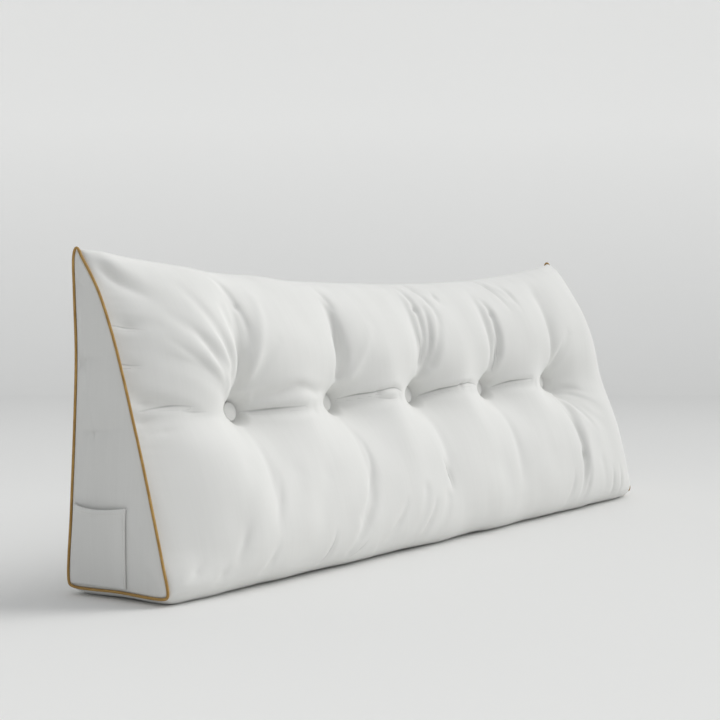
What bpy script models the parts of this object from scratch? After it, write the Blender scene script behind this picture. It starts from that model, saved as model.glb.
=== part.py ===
"""Backrest pillow: a long soft wedge that stands on its base.

One cloth runs round the front, the top, the back and the base. Each end is
closed by a panel cut to the wedge's outline, with a thin piping in its seam.
Five covered buttons are pulled deep into the front in one level row. The left
end panel carries a flat hemmed pocket.

Metres, +Z up. The length runs along X, the front faces -Y, the left end with
the pocket is at -X, and the origin is at the middle of the base.
"""
import math

import bpy
import numpy as np
from mathutils import Matrix

# Driving dimensions
LENGTH = 1.500          # end seam to end seam, along the base
EAR_HEIGHT = 0.500      # height of the end seams' top corners
TOP_INSET = 0.023       # how far each end leans in, from its base to its ear
END_CROWN = 0.007       # how far an end panel swells out in its middle
END_CENTRE = (0.038, 0.185)     # y, z of the middle of an end panel
SEAM_GAP = 0.0003       # room between two sewn pieces
PANEL_THICK = 0.0015
PANEL_INSET = 0.0010    # an end panel stops this far inside the seam
PIPING_RADIUS = 0.0021
PIPING_GAP = 0.0006     # the cord turns corners on short straight runs
PIPING_SIDES = 6
PIPING_REFINE = 2       # points along the piping for each one of the outline

# Cross-section of the stuffed wedge, one row for each place round it, from the
# back of the base, along the base, up the front, over the top and down the back.
# The end_ columns are the seam at an end and the mid_ columns the full middle.
# steps is how many strips of faces lead to the next row.
SECTION = (
    # name            end_y    end_z   mid_y    mid_z  steps
    ("base_back",     0.0890,  0.0146, 0.078,   0.000, 2),
    ("base_middle",   0.000,   0.0140, 0.000,   0.000, 2),
    ("base_front",   -0.0888,  0.0133, -0.084,  0.000, 3),
    ("front_foot",   -0.0915,  0.0165, -0.116,  0.019, 3),
    ("lower_lobe",   -0.0803,  0.060,  -0.129,  0.062, 5),
    ("lobe_crown",   -0.0563,  0.140,  -0.123,  0.135, 5),
    ("lobe_top",     -0.0360,  0.205,  -0.109,  0.200, 4),
    ("button_line",  -0.0192,  0.255,  -0.092,  0.252, 4),
    ("upper_foot",    0.0013,  0.315,  -0.078,  0.305, 4),
    ("upper_lobe",    0.0260,  0.380,  -0.052,  0.362, 4),
    ("upper_crown",   0.0546,  0.440,  -0.013,  0.412, 3),
    ("top_front",     0.0868,  0.486,   0.032,  0.444, 2),
    ("top",           0.0966,  0.4988,  0.072,  0.451, 2),
    ("top_back",      0.1001,  0.490,   0.100,  0.436, 2),
    ("back_upper",    0.0973,  0.438,   0.120,  0.394, 2),
    ("back_high",     0.0905,  0.350,   0.131,  0.318, 2),
    ("back_middle",   0.0899,  0.250,   0.134,  0.220, 2),
    ("back_low",      0.0919,  0.125,   0.129,  0.110, 3),
    ("back_foot",     0.0929,  0.0185,  0.112,  0.021, 3),
)

# How the wedge fills out between its ends
SWELL_POWER = 8         # the higher, the closer to an end the cloth is full
HANG_POWER = 2.2        # the higher, the flatter the sagging top's middle
SETTLE_FROM = 0.955     # share of the half length from which the base lifts
LEFT_SLOPE_FROM = 0.73  # the front slopes to the left end from this share on
UPPER_HEIGHTS = (0.03, 0.12)    # the sag takes over from the base between these

# Covered buttons
BUTTON_COUNT = 5
BUTTON_PITCH = 0.252
BUTTON_HEIGHT = 0.252
BUTTON_SEAT_Y = 0.001   # how deep the thread pulls the cloth in
BUTTON_TILT = math.radians(14.0)
BUTTON_RADIUS = 0.015
BUTTON_THICK = 0.0085
BUTTON_SIDES = 16
BUTTON_PROFILE = (      # radius and rise of each ring, as shares, from the back
    (0.60, 0.00), (0.94, 0.22), (1.00, 0.50), (0.90, 0.84), (0.55, 1.00),
)
SEAT_STEP = 0.009       # the flat seat of a button is two such steps each way
TUFT_REACH = 0.100      # how far round a button the cloth is drawn in
DEEPEST_TUFT = 0.093    # nothing on the front is drawn in further than this
TUFT_LIMIT = 14         # how suddenly the cloth stops there
TUFT_SQUASH = 1.7       # how much shorter that is up the cloth than along it
TUFTS_BELOW = (-0.01, 0.06)     # cloth heights over which tufting sets in
TUFTS_ABOVE = (0.42, 0.50)      # and over which it dies away again

# Pocket on the left end panel
POCKET_FRONT_Y = -0.018
POCKET_MARGIN = 0.0065  # the back edge lies this far inside the back seam
POCKET_BOTTOM = 0.0175
POCKET_TOP = 0.1325
POCKET_SAG = 0.0045      # the mouth's edge hangs lower in its middle
POCKET_THICK = 0.0015
POCKET_GAPE = 0.0062    # how far the mouth stands off the panel
HEM_THICK = 0.0010      # what the turned edge adds
POCKET_LIFT = 0.0014    # how far the sewn edges lie off the panel
POCKET_STEPS = 12
POCKET_ROWS = (0.0, 0.2, 0.4, 0.58, 0.74, 0.86, 0.925, 0.935, 1.0)
POCKET_HEM_FROM = 0.93  # the hem begins at this share of the pocket's height

COLUMNS_BETWEEN_BUTTONS = 18    # even, as the base has every second column
COLUMNS_AT_END = 17
END_EASE = 1.3          # above 1, the columns crowd towards the end seams
CAP_RINGS = (0.80, 0.55, 0.28)  # rings of an end panel, as shares of its outline

# Soft channels that run from every button, in metres from the button along the
# wedge and up its cloth. share is the part of their depth left at their end.
CHANNELS = (
    # name        along    up      width   depth   share
    ("upward",    0.000,   0.240,  0.075,  0.056,  0.00),
    ("downward", -0.030,  -0.200,  0.085,  0.040,  0.00),
)

# The shallower channel that joins the buttons and runs on to both end seams.
ROW_STRETCHES = (
    # from     to       width   depth   share
    (-0.504,  -0.740,   0.120,  0.042,  0.40),
    (-0.504,   0.504,   0.060,  0.024,  1.00),
    (0.504,    0.700,   0.080,  0.026,  0.10),
)
BLEND = 4.0             # how softly tufts and channels run into each other
CREASE = 0.006          # how far the bottom of a channel is rounded
FOLD_SAMPLES = 25       # places along a fold from which distances are taken
FOLDS_STOP = (0.035, 0.002)     # folds die away between these from an end seam

# Main folds of the cloth, one row for each. A fold runs from its start over a
# bend to its end, in metres along the wedge and up its cloth from the front
# foot. depth is positive for a trough and negative for a ridge, and share says
# what is left of it at its end.
FOLDS = (
    # start           bend              end               width   depth   share
    # fan above the first button
    ((-0.506, 0.275), (-0.520, 0.345), (-0.530, 0.405),   0.020,  0.011,  0.20),
    ((-0.520, 0.270), (-0.575, 0.340), (-0.640, 0.385),   0.022,  0.008,  0.10),
    ((-0.515, 0.280), (-0.560, 0.365), (-0.600, 0.440),   0.022,  0.007,  0.10),
    ((-0.495, 0.290), (-0.460, 0.370), (-0.440, 0.430),   0.022, -0.005,  0.20),
    ((-0.490, 0.285), (-0.465, 0.315), (-0.430, 0.350),   0.022,  0.005,  0.20),
    ((-0.530, 0.255), (-0.600, 0.300), (-0.680, 0.325),   0.026,  0.006,  0.10),
    # ear and seam at the left end
    ((-0.725, 0.480), (-0.705, 0.440), (-0.660, 0.415),   0.030,  0.003,  0.10),
    ((-0.700, 0.470), (-0.665, 0.445), (-0.610, 0.415),   0.030, -0.002,  0.10),
    ((-0.735, 0.270), (-0.700, 0.268), (-0.640, 0.250),   0.022,  0.006,  0.20),
    ((-0.735, 0.370), (-0.705, 0.372), (-0.670, 0.372),   0.020,  0.005,  0.20),
    # creases in the row of buttons
    ((-0.470, 0.240), (-0.420, 0.236), (-0.350, 0.238),   0.018,  0.006,  0.40),
    ((-0.470, 0.262), (-0.400, 0.280), (-0.290, 0.262),   0.018,  0.005,  0.60),
    ((-0.225, 0.238), (-0.180, 0.242), (-0.100, 0.248),   0.018,  0.007,  0.40),
    ((0.026, 0.240),  (0.070, 0.245),  (0.140, 0.250),    0.018,  0.007,  0.40),
    ((0.283, 0.240),  (0.324, 0.245),  (0.396, 0.245),    0.018,  0.007,  0.40),
    # above the second, third, fourth and fifth buttons
    ((-0.250, 0.290), (-0.242, 0.350), (-0.250, 0.445),   0.018,  0.005,  0.00),
    ((-0.225, 0.285), (-0.200, 0.320), (-0.165, 0.375),   0.022, -0.004,  0.20),
    ((0.010, 0.280),  (0.020, 0.335),  (0.045, 0.455),    0.018,  0.006,  0.00),
    ((0.030, 0.300),  (0.050, 0.355),  (0.075, 0.395),    0.020,  0.007,  0.20),
    ((0.055, 0.475),  (0.120, 0.458),  (0.130, 0.415),    0.022,  0.003,  0.00),
    ((0.262, 0.285),  (0.285, 0.340),  (0.280, 0.450),    0.018,  0.005,  0.00),
    ((0.340, 0.470),  (0.375, 0.435),  (0.425, 0.400),    0.022,  0.003,  0.00),
    ((0.515, 0.265),  (0.530, 0.295),  (0.565, 0.335),    0.024,  0.007,  0.20),
    # fan beside the last button, with the long fold under it
    ((0.525, 0.228),  (0.560, 0.223),  (0.620, 0.215),    0.022,  0.007,  0.10),
    ((0.525, 0.222),  (0.570, 0.200),  (0.640, 0.170),    0.024,  0.007,  0.10),
    ((0.530, 0.215),  (0.560, 0.185),  (0.610, 0.150),    0.022,  0.006,  0.10),
    ((0.515, 0.205),  (0.505, 0.110),  (0.470, 0.000),    0.024,  0.008,  0.10),
    ((0.570, 0.075),  (0.580, 0.040),  (0.575, 0.010),    0.022,  0.002,  0.10),
    # pleats that slant to the left in the lower front
    ((-0.560, 0.160), (-0.600, 0.090), (-0.650, 0.010),   0.040,  0.002,  0.10),
    ((-0.455, 0.140), (-0.500, 0.070), (-0.555, 0.005),   0.040,  0.002,  0.10),
    ((-0.385, 0.130), (-0.420, 0.060), (-0.475, 0.000),   0.040,  0.002,  0.10),
    ((-0.115, 0.085), (-0.130, 0.040), (-0.170, 0.000),   0.024,  0.003,  0.20),
    ((-0.045, 0.065), (-0.060, 0.030), (-0.090, 0.000),   0.024,  0.003,  0.20),
)


# Name, base colour and roughness of each material
CLOTH = ("brushed_cloth", (0.80, 0.79, 0.77), 0.85)
PANEL_CLOTH = ("panel_cloth", (0.78, 0.77, 0.75), 0.85)
BUTTON_CLOTH = ("button_cloth", (0.79, 0.78, 0.76), 0.80)
PIPING = ("golden_piping", (0.44, 0.26, 0.075), 0.45)


def clear_scene():
    for thing in list(bpy.data.objects):
        bpy.data.objects.remove(thing, do_unlink=True)


def material(name, colour, roughness):
    made = bpy.data.materials.new(name)
    made.use_nodes = True
    shader = made.node_tree.nodes["Principled BSDF"]
    shader.inputs["Base Color"].default_value = (*colour, 1.0)
    shader.inputs["Roughness"].default_value = roughness
    shader.inputs["Metallic"].default_value = 0.0
    made.diffuse_color = (*colour, 1.0)
    return made


def add_object(name, points, faces, finish, smooth=True):
    mesh = bpy.data.meshes.new(name)
    mesh.from_pydata([tuple(map(float, point)) for point in points], [], faces)
    mesh.validate()
    if smooth:
        mesh.shade_smooth()
    mesh.materials.append(finish)
    made = bpy.data.objects.new(name, mesh)
    bpy.context.collection.objects.link(made)
    return made


def round_curve(corners, steps):
    """A closed smooth curve through corners, with steps[i] points from corner i
    on. Its pace follows the distances, so that a short side doesn't overshoot."""
    count = len(corners)
    points = []
    for i in range(count):
        a, b, c, d = (corners[(i + k) % count] for k in (-1, 0, 1, 2))
        ab, bc, cd = (math.sqrt(np.linalg.norm(q - p)) for p, q in ((a, b), (b, c), (c, d)))
        leave = ((b - a) / ab - (c - a) / (ab + bc) + (c - b) / bc) * bc
        arrive = ((c - b) / bc - (d - b) / (bc + cd) + (d - c) / cd) * bc
        for step in range(steps[i]):
            t = step / steps[i]
            points.append((2 * t ** 3 - 3 * t ** 2 + 1) * b + (t ** 3 - 2 * t ** 2 + t) * leave
                          + (3 * t ** 2 - 2 * t ** 3) * c + (t ** 3 - t ** 2) * arrive)
    return np.array(points)


def section_curves(refine=1):
    """The end outline and the full middle outline, as matching y, z points."""
    steps = [row[5] * refine for row in SECTION]
    seam = round_curve([np.array(row[1:3]) for row in SECTION], steps)
    middle = round_curve([np.array(row[3:5]) for row in SECTION], steps)
    return seam, middle


def row_index(name):
    """The place of a named row's own point in the unrefined section curves."""
    names = [row[0] for row in SECTION]
    return sum(row[5] for row in SECTION[:names.index(name)])


def cloth_height(middle):
    """The way up the cloth to each point, from the front foot."""
    foot = row_index("front_foot")
    steps = np.linalg.norm(np.diff(middle, axis=0), axis=1)
    travelled = np.concatenate([[0.0], np.cumsum(steps)])
    return travelled - travelled[foot]


def column_places():
    """X of each column of faces: close beside the buttons and the end seams."""
    seat = [SEAT_STEP, 2 * SEAT_STEP]
    inner = np.linspace(seat[1], BUTTON_PITCH - seat[1], COLUMNS_BETWEEN_BUTTONS - 3)
    gap = seat[:1] + list(inner) + [BUTTON_PITCH - SEAT_STEP]
    half = [0.0]
    reach = BUTTON_COUNT // 2
    for button in range(reach):
        half += [button * BUTTON_PITCH + place for place in gap + [BUTTON_PITCH]]
    last = reach * BUTTON_PITCH
    half += [last + place for place in seat]
    share = np.linspace(0.0, 1.0, COLUMNS_AT_END + 1)[1:]
    start = last + seat[1]
    half += list(start + (LENGTH / 2 - start) * (1 - (1 - share) ** END_EASE))
    return np.array([-x for x in half[:0:-1]] + half)


def ease(value, start, end):
    t = np.clip((value - start) / (end - start), 0.0, 1.0)
    return t * t * (3 - 2 * t)


def front_share(height):
    """1 on the front, and 0 under the base, on the top and down the back."""
    return ease(height, *TUFTS_BELOW) * (1 - ease(height, *TUFTS_ABOVE))


def wedge_form(columns, seam, middle):
    """The stuffed wedge before its tufts and folds: swelling fast from the end
    seams, with a top that hangs between its ears and a base flat on the floor."""
    share = np.abs(columns)[:, None] / (LENGTH / 2)
    fullness = np.sqrt(1 - np.minimum(share, 1.0) ** SWELL_POWER)
    hang = 1 - share ** HANG_POWER
    settle = np.sqrt(1 - np.clip((share - SETTLE_FROM) / (1 - SETTLE_FROM), 0.0, 1.0) ** 2)
    upper = ease(seam[:, 1], *UPPER_HEIGHTS)[None, :]
    rise = settle * (1 - upper) + hang * upper
    x = columns[:, None] * (1 - TOP_INSET / (LENGTH / 2) * seam[None, :, 1] / EAR_HEIGHT)
    slope = 1 - np.clip((share - LEFT_SLOPE_FROM) / (1 - LEFT_SLOPE_FROM), 0.0, 1.0) ** 2
    sloping = front_share(cloth_height(middle))[None, :] * (columns[:, None] < 0)
    fullness = fullness + (slope - fullness) * sloping
    y = seam[None, :, 0] + (middle - seam)[None, :, 0] * fullness
    z = seam[None, :, 1] + (middle - seam)[None, :, 1] * rise
    return np.stack([x, y, np.maximum(z, 0.0)], axis=-1)


def outward(form):
    """Unit normals of the form's grid, out of the filling."""
    along = np.gradient(form, axis=0)
    around = (np.roll(form, -1, axis=1) - np.roll(form, 1, axis=1)) / 2
    normal = np.cross(along, around)
    return normal / np.maximum(np.linalg.norm(normal, axis=-1, keepdims=True), 1e-9)


def fold_shape(x, height, start, bend, end, width, fade, sharp=False):
    """How strongly one fold acts at each point of the grid, from 0 to 1."""
    nearest = np.full(x.shape, np.inf)
    share = np.zeros_like(x)
    for t in np.linspace(0.0, 1.0, FOLD_SAMPLES):
        place = [(1 - t) ** 2 * a + 2 * t * (1 - t) * b + t ** 2 * c
                 for a, b, c in zip(start, bend, end)]
        away = np.hypot(x - place[0], height - place[1])
        share = np.where(away < nearest, t, share)
        nearest = np.minimum(nearest, away)
    if sharp:
        side = (np.hypot(nearest, CREASE) - CREASE) / (width / 2)
    else:
        side = (nearest / (width / 2)) ** 2
    return (1 - (1 - fade) * share) * np.exp(-side)


def button_places():
    middle = (BUTTON_COUNT - 1) / 2
    return [(i - middle) * BUTTON_PITCH for i in range(BUTTON_COUNT)]


def seat_directions():
    """Along, up and out of the tilted seat that every button is sewn on."""
    along = np.array([1.0, 0.0, 0.0])
    up = np.array([0.0, math.sin(BUTTON_TILT), math.cos(BUTTON_TILT)])
    return along, up, np.cross(along, up)


def tuft_pull(form, columns, x, height):
    """How far the buttons and their soft channels draw the front in."""
    line = row_index("button_line")
    row = height[0, line]
    powers = np.zeros_like(x)
    for place in button_places():
        column = int(np.argmin(np.abs(columns - place)))
        depth = BUTTON_SEAT_Y - form[column, line, 1]
        away = np.hypot(x - place, (height - row) * TUFT_SQUASH)
        powers += (depth * np.exp(-away / TUFT_REACH)) ** BLEND
        for name, along, up, width, depth, share in CHANNELS:
            bend = (place + along / 2, row + up / 2)
            shape = fold_shape(x, height, (place, row), bend, (place + along, row + up),
                               width, share, sharp=True)
            powers += (depth * shape) ** BLEND
    for start, end, width, depth, share in ROW_STRETCHES:
        bend = ((start + end) / 2, row)
        shape = fold_shape(x, height, (start, row), bend, (end, row), width, share,
                           sharp=True)
        powers += (depth * shape) ** BLEND
    pull = powers ** (1 / BLEND)
    return pull / (1 + (pull / DEEPEST_TUFT) ** TUFT_LIMIT) ** (1 / TUFT_LIMIT)


def wedge_grid():
    """The cloth's points, one row for each column of faces."""
    seam, middle = section_curves()
    columns = column_places()
    form = wedge_form(columns, seam, middle)
    height = np.broadcast_to(cloth_height(middle)[None, :], form.shape[:2])
    line = row_index("button_line")
    x = form[:, :, 0]

    front = front_share(height)
    points = form.copy()
    points[:, :, 1] += tuft_pull(form, columns, x, height) * front
    stop_from, stop_at = (LENGTH / 2 - inside for inside in FOLDS_STOP)
    off_end = 1 - ease(np.abs(columns), stop_from, stop_at)
    depth = np.zeros_like(x)
    for start, bend, end, width, deep, fade in FOLDS:
        depth += deep * fold_shape(x, height, start, bend, end, width, fade)
    points -= outward(form) * (depth * off_end[:, None])[:, :, None]
    points[:, :, 2] = np.maximum(points[:, :, 2], 0.0)

    along, up, _ = seat_directions()
    for place in button_places():
        column = int(np.argmin(np.abs(columns - place)))
        for i in range(-2, 3):
            for j in range(-2, 3):
                seat = np.array([place, BUTTON_SEAT_Y, BUTTON_HEIGHT])
                points[column + i, line + j] = seat + SEAT_STEP * (i * along + j * up)
    points[0] = wedge_form(columns[:1], seam, middle)[0]
    points[-1] = wedge_form(columns[-1:], seam, middle)[0]
    return points


def outline_outward(outline):
    """Unit directions out of an end outline, in its own plane."""
    around = np.roll(outline, -1, axis=0) - np.roll(outline, 1, axis=0)
    out = np.stack([around[:, 1], -around[:, 0]], axis=1)
    out /= np.linalg.norm(out, axis=1, keepdims=True)
    middle = np.array(END_CENTRE)
    return out if ((outline - middle) * out).sum() > 0 else -out


def cap_rings(side, outline, shift=0.0):
    """Rings of an end panel, from its cut edge inward, and its middle point."""
    centre = np.array(END_CENTRE)
    cut_edge = outline - outline_outward(outline) * PANEL_INSET
    shares = [1.0, *CAP_RINGS, 0.0]
    flats = [cut_edge] + [centre + (outline - centre) * share for share in shares[1:]]
    rings = []
    for share, flat in zip(shares, flats):
        reach = (LENGTH / 2 - TOP_INSET * flat[:, 1] / EAR_HEIGHT
                 + END_CROWN * (1 - share ** 2) + shift)
        rings.append(np.column_stack([side * reach, flat]))
    return rings[:-1], rings[-1][0]


def make_body(finish):
    """The one filled solid. The base and back have half as many columns."""
    grid = wedge_grid()
    across, around = grid.shape[:2]
    fine_from = row_index("front_foot")
    fine_to = row_index("top_back")
    points = []
    number = {}

    def vertex(i, j):
        key = (i, j % around)
        if key not in number:
            number[key] = len(points)
            points.append(grid[key])
        return number[key]

    faces = []
    for j in range(around):
        low_fine = fine_from <= j <= fine_to
        high_fine = fine_from <= (j + 1) % around <= fine_to
        for i in range(0, across - 1, 2):
            a, c = vertex(i, j), vertex(i + 2, j)
            d, f = vertex(i, j + 1), vertex(i + 2, j + 1)
            if low_fine and high_fine:
                b, e = vertex(i + 1, j), vertex(i + 1, j + 1)
                faces += [(a, b, e, d), (b, c, f, e)]
            elif low_fine:
                b = vertex(i + 1, j)
                faces += [(a, b, d), (b, f, d), (b, c, f)]
            elif high_fine:
                e = vertex(i + 1, j + 1)
                faces += [(a, e, d), (a, c, e), (c, f, e)]
            else:
                faces.append((a, c, f, d))

    outline = section_curves()[0]
    for side, column in ((-1, 0), (1, across - 1)):
        edge = [vertex(column, j) for j in range(around)]
        add_cap(points, faces, edge, side, *cap_rings(side, outline))
    return add_object("cushion_body", points, faces, finish)


def add_cap(points, faces, edge, side, rings, middle, flip=False):
    """Closes a ring of vertices with the rings of an end panel."""
    count = len(edge)
    turn = (side > 0) != flip
    for ring in rings:
        start = len(points)
        points += list(ring)
        inner = [start + j for j in range(count)]
        for j in range(count):
            k = (j + 1) % count
            for face in ((edge[j], edge[k], inner[k]), (edge[j], inner[k], inner[j])):
                faces.append(face[::-1] if turn else face)
        edge = inner
    tip = len(points)
    points.append(middle)
    for j in range(count):
        face = (edge[j], edge[(j + 1) % count], tip)
        faces.append(face[::-1] if turn else face)


def make_end_panel(name, side, finish):
    """One sheet, cut to the wedge's outline and lying just off the filling."""
    outline = section_curves()[0]
    count = len(outline)
    points = []
    faces = []
    edges = []
    for shift, flip in ((SEAM_GAP, True), (SEAM_GAP + PANEL_THICK, False)):
        rings, middle = cap_rings(side, outline, shift)
        edge = [len(points) + j for j in range(count)]
        points += list(rings[0])
        edges.append(edge)
        add_cap(points, faces, edge, side, rings[1:], middle, flip)
    inner, outer = edges
    for j in range(count):
        k = (j + 1) % count
        face = (inner[j], inner[k], outer[k], outer[j])
        faces.append(face[::-1] if side > 0 else face)
    return add_object(name, points, faces, finish, smooth=False)


def make_piping(name, side, finish):
    """A closed ring of covered cord in the seam, proud of cloth and panel."""
    outline = section_curves(PIPING_REFINE)[0]
    out = outline_outward(outline)
    offset = (PIPING_RADIUS + PIPING_GAP) / math.sqrt(2)
    path = outline + out * offset
    reach = LENGTH / 2 - TOP_INSET * path[:, 1] / EAR_HEIGHT + offset
    centres = np.column_stack([side * reach, path])
    out3 = np.column_stack([np.zeros(len(out)), out])
    along_x = np.array([1.0, 0.0, 0.0])
    points = []
    for centre, away in zip(centres, out3):
        for k in range(PIPING_SIDES):
            angle = 2 * math.pi * k / PIPING_SIDES
            points.append(centre + PIPING_RADIUS * (math.cos(angle) * away
                                                    + math.sin(angle) * along_x))
    faces = []
    count = len(centres)
    for j in range(count):
        for k in range(PIPING_SIDES):
            a, b = j * PIPING_SIDES + k, j * PIPING_SIDES + (k + 1) % PIPING_SIDES
            c, d = [(v + PIPING_SIDES) % (count * PIPING_SIDES) for v in (b, a)]
            faces.append((a, b, c, d))
    return add_object(name, points, faces, finish)


def make_button(name, place, finish):
    """A flat round button covered in the same cloth, facing out of its tuft."""
    points = []
    faces = []
    for radius_share, rise_share in BUTTON_PROFILE:
        for k in range(BUTTON_SIDES):
            angle = 2 * math.pi * k / BUTTON_SIDES
            reach = BUTTON_RADIUS * radius_share
            points.append((reach * math.cos(angle), reach * math.sin(angle),
                           BUTTON_THICK * rise_share))
    rings = len(BUTTON_PROFILE)
    for ring in range(rings - 1):
        faces += closed_strip(ring * BUTTON_SIDES, (ring + 1) * BUTTON_SIDES, BUTTON_SIDES)
    faces.append(tuple(range(BUTTON_SIDES))[::-1])
    last = (rings - 1) * BUTTON_SIDES
    faces.append(tuple(range(last, last + BUTTON_SIDES)))
    along, up, out = seat_directions()
    seat = np.array([place, BUTTON_SEAT_Y, BUTTON_HEIGHT]) + out * SEAM_GAP
    placed = [seat + along * x + up * y + out * z for x, y, z in points]
    return add_object(name, placed, faces, finish)


def closed_strip(first, second, count):
    """Faces between two rings of count vertices."""
    faces = []
    for j in range(count):
        k = (j + 1) % count
        faces.append((first + j, first + k, second + k, second + j))
    return faces


def panel_reach(y, z):
    """X of the left end panel's outer face, as a smooth crown."""
    centre = np.array(END_CENTRE)
    outline = section_curves()[0]
    spoke = np.array([y, z]) - centre
    if np.hypot(*spoke) < 1e-6:
        return LENGTH / 2 - TOP_INSET * z / EAR_HEIGHT + END_CROWN
    angles = np.arctan2(*(outline - centre).T[::-1])
    order = np.argsort(angles)
    radii = np.hypot(*(outline - centre).T)[order]
    limit = np.interp(math.atan2(spoke[1], spoke[0]), angles[order], radii,
                      period=2 * math.pi)
    share = min(np.hypot(*spoke) / limit, 1.0)
    return LENGTH / 2 - TOP_INSET * z / EAR_HEIGHT + END_CROWN * (1 - share ** 2)


def pocket_span(z):
    """Y of the pocket's front edge and of its back edge beside the back seam."""
    outline = section_curves()[0]
    back = outline[row_index("back_upper"):][::-1]
    back = np.vstack([outline[0], back])
    return POCKET_FRONT_Y, float(np.interp(z, back[:, 1], back[:, 0])) - POCKET_MARGIN


def make_pocket(finish):
    """A hemmed patch, sewn down at its sides and foot, with its mouth open."""
    points = []
    for layer in (0, 1):
        for up in POCKET_ROWS:
            for step in range(POCKET_STEPS + 1):
                side = step / POCKET_STEPS
                arch = max(math.sin(math.pi * side), 0.0)
                z = POCKET_BOTTOM + (POCKET_TOP - POCKET_BOTTOM) * up
                z -= POCKET_SAG * arch * up
                front, back = pocket_span(z)
                y = front + (back - front) * side
                off = POCKET_LIFT + POCKET_GAPE * math.sqrt(arch) * up
                thick = POCKET_THICK + (HEM_THICK if up > POCKET_HEM_FROM else 0.0)
                reach = panel_reach(y, z) + SEAM_GAP + PANEL_THICK + off + layer * thick
                points.append((-reach, y, z))
    wide = POCKET_STEPS + 1
    tall = len(POCKET_ROWS)
    outer = tall * wide
    faces = []
    for row in range(tall - 1):
        for step in range(POCKET_STEPS):
            a, b = row * wide + step, row * wide + step + 1
            faces.append((a, b, b + wide, a + wide))
            faces.append((a + outer, a + outer + wide, b + outer + wide, b + outer))
    rim = list(range(wide))
    rim += [row * wide + POCKET_STEPS for row in range(1, tall)]
    rim += [(tall - 1) * wide + step for step in range(POCKET_STEPS - 1, -1, -1)]
    rim += [row * wide for row in range(tall - 2, 0, -1)]
    for a, b in zip(rim, rim[1:] + rim[:1]):
        faces.append((a, a + outer, b + outer, b))
    return add_object("side_pocket", points, faces, finish, smooth=False)


def centre_on_base():
    """Moves the whole pillow so that the origin is at the middle of its base."""
    meshes = [thing.data for thing in bpy.data.objects if thing.type == "MESH"]
    places = np.array([tuple(v.co) for mesh in meshes for v in mesh.vertices])
    middle = (places.min(axis=0) + places.max(axis=0)) / 2
    shift = Matrix.Translation((-middle[0], -middle[1], -places[:, 2].min()))
    for mesh in meshes:
        mesh.transform(shift)


def main():
    clear_scene()
    panel_cloth = material(*PANEL_CLOTH)
    button_cloth = material(*BUTTON_CLOTH)
    piping = material(*PIPING)
    make_body(material(*CLOTH))
    for name, side in (("left", -1), ("right", 1)):
        make_end_panel("end_panel_" + name, side, panel_cloth)
        make_piping("piping_" + name, side, piping)
    for number, place in enumerate(button_places(), start=1):
        make_button(f"button_{number}", place, button_cloth)
    make_pocket(panel_cloth)
    centre_on_base()


main()
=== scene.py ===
"""Looks of the backrest pillow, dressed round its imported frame.

The cloth that wraps the filling is one fine grid in the same form as the solid,
with its tufts, channels and folds. The end panels, pipings, covered buttons and
the hemmed side pocket are pieces of their own, made to lie on it.
"""

import math

import bpy
import numpy as np
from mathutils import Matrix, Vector


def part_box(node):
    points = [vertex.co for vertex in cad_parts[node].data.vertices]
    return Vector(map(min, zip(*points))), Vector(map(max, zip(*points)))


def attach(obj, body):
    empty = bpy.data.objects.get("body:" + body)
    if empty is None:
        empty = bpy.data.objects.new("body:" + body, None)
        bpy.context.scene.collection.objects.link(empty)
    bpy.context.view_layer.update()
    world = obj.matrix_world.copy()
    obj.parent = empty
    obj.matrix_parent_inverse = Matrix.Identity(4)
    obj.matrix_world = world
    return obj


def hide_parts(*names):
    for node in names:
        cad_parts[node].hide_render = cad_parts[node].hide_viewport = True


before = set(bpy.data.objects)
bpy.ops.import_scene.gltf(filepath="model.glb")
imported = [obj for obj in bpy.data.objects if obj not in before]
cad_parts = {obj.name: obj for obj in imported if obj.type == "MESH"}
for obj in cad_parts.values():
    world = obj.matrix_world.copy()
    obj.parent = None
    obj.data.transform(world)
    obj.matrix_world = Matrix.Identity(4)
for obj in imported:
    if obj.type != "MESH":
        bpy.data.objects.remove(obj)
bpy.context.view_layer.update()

# Driving dimensions of the wedge, in metres
LENGTH = 1.500          # end seam to end seam, along the base
EAR_HEIGHT = 0.500      # height of the end seams' top corners
TOP_INSET = 0.023       # how far each end leans in, from its base to its ear
END_CROWN = 0.007       # how far an end panel swells out in its middle
END_CENTRE = (0.038, 0.185)     # y, z of the middle of an end panel
FILLING_CROWN = 0.002   # the filling behind a panel swells less than the panel
SEAM_GAP = 0.0003       # room between two sewn pieces
PANEL_THICK = 0.0015
PANEL_INSET = 0.0010    # an end panel stops this far inside the seam
PIPING_RADIUS = 0.0021
PIPING_GAP = 0.0006
PIPING_SIDES = 14

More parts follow.
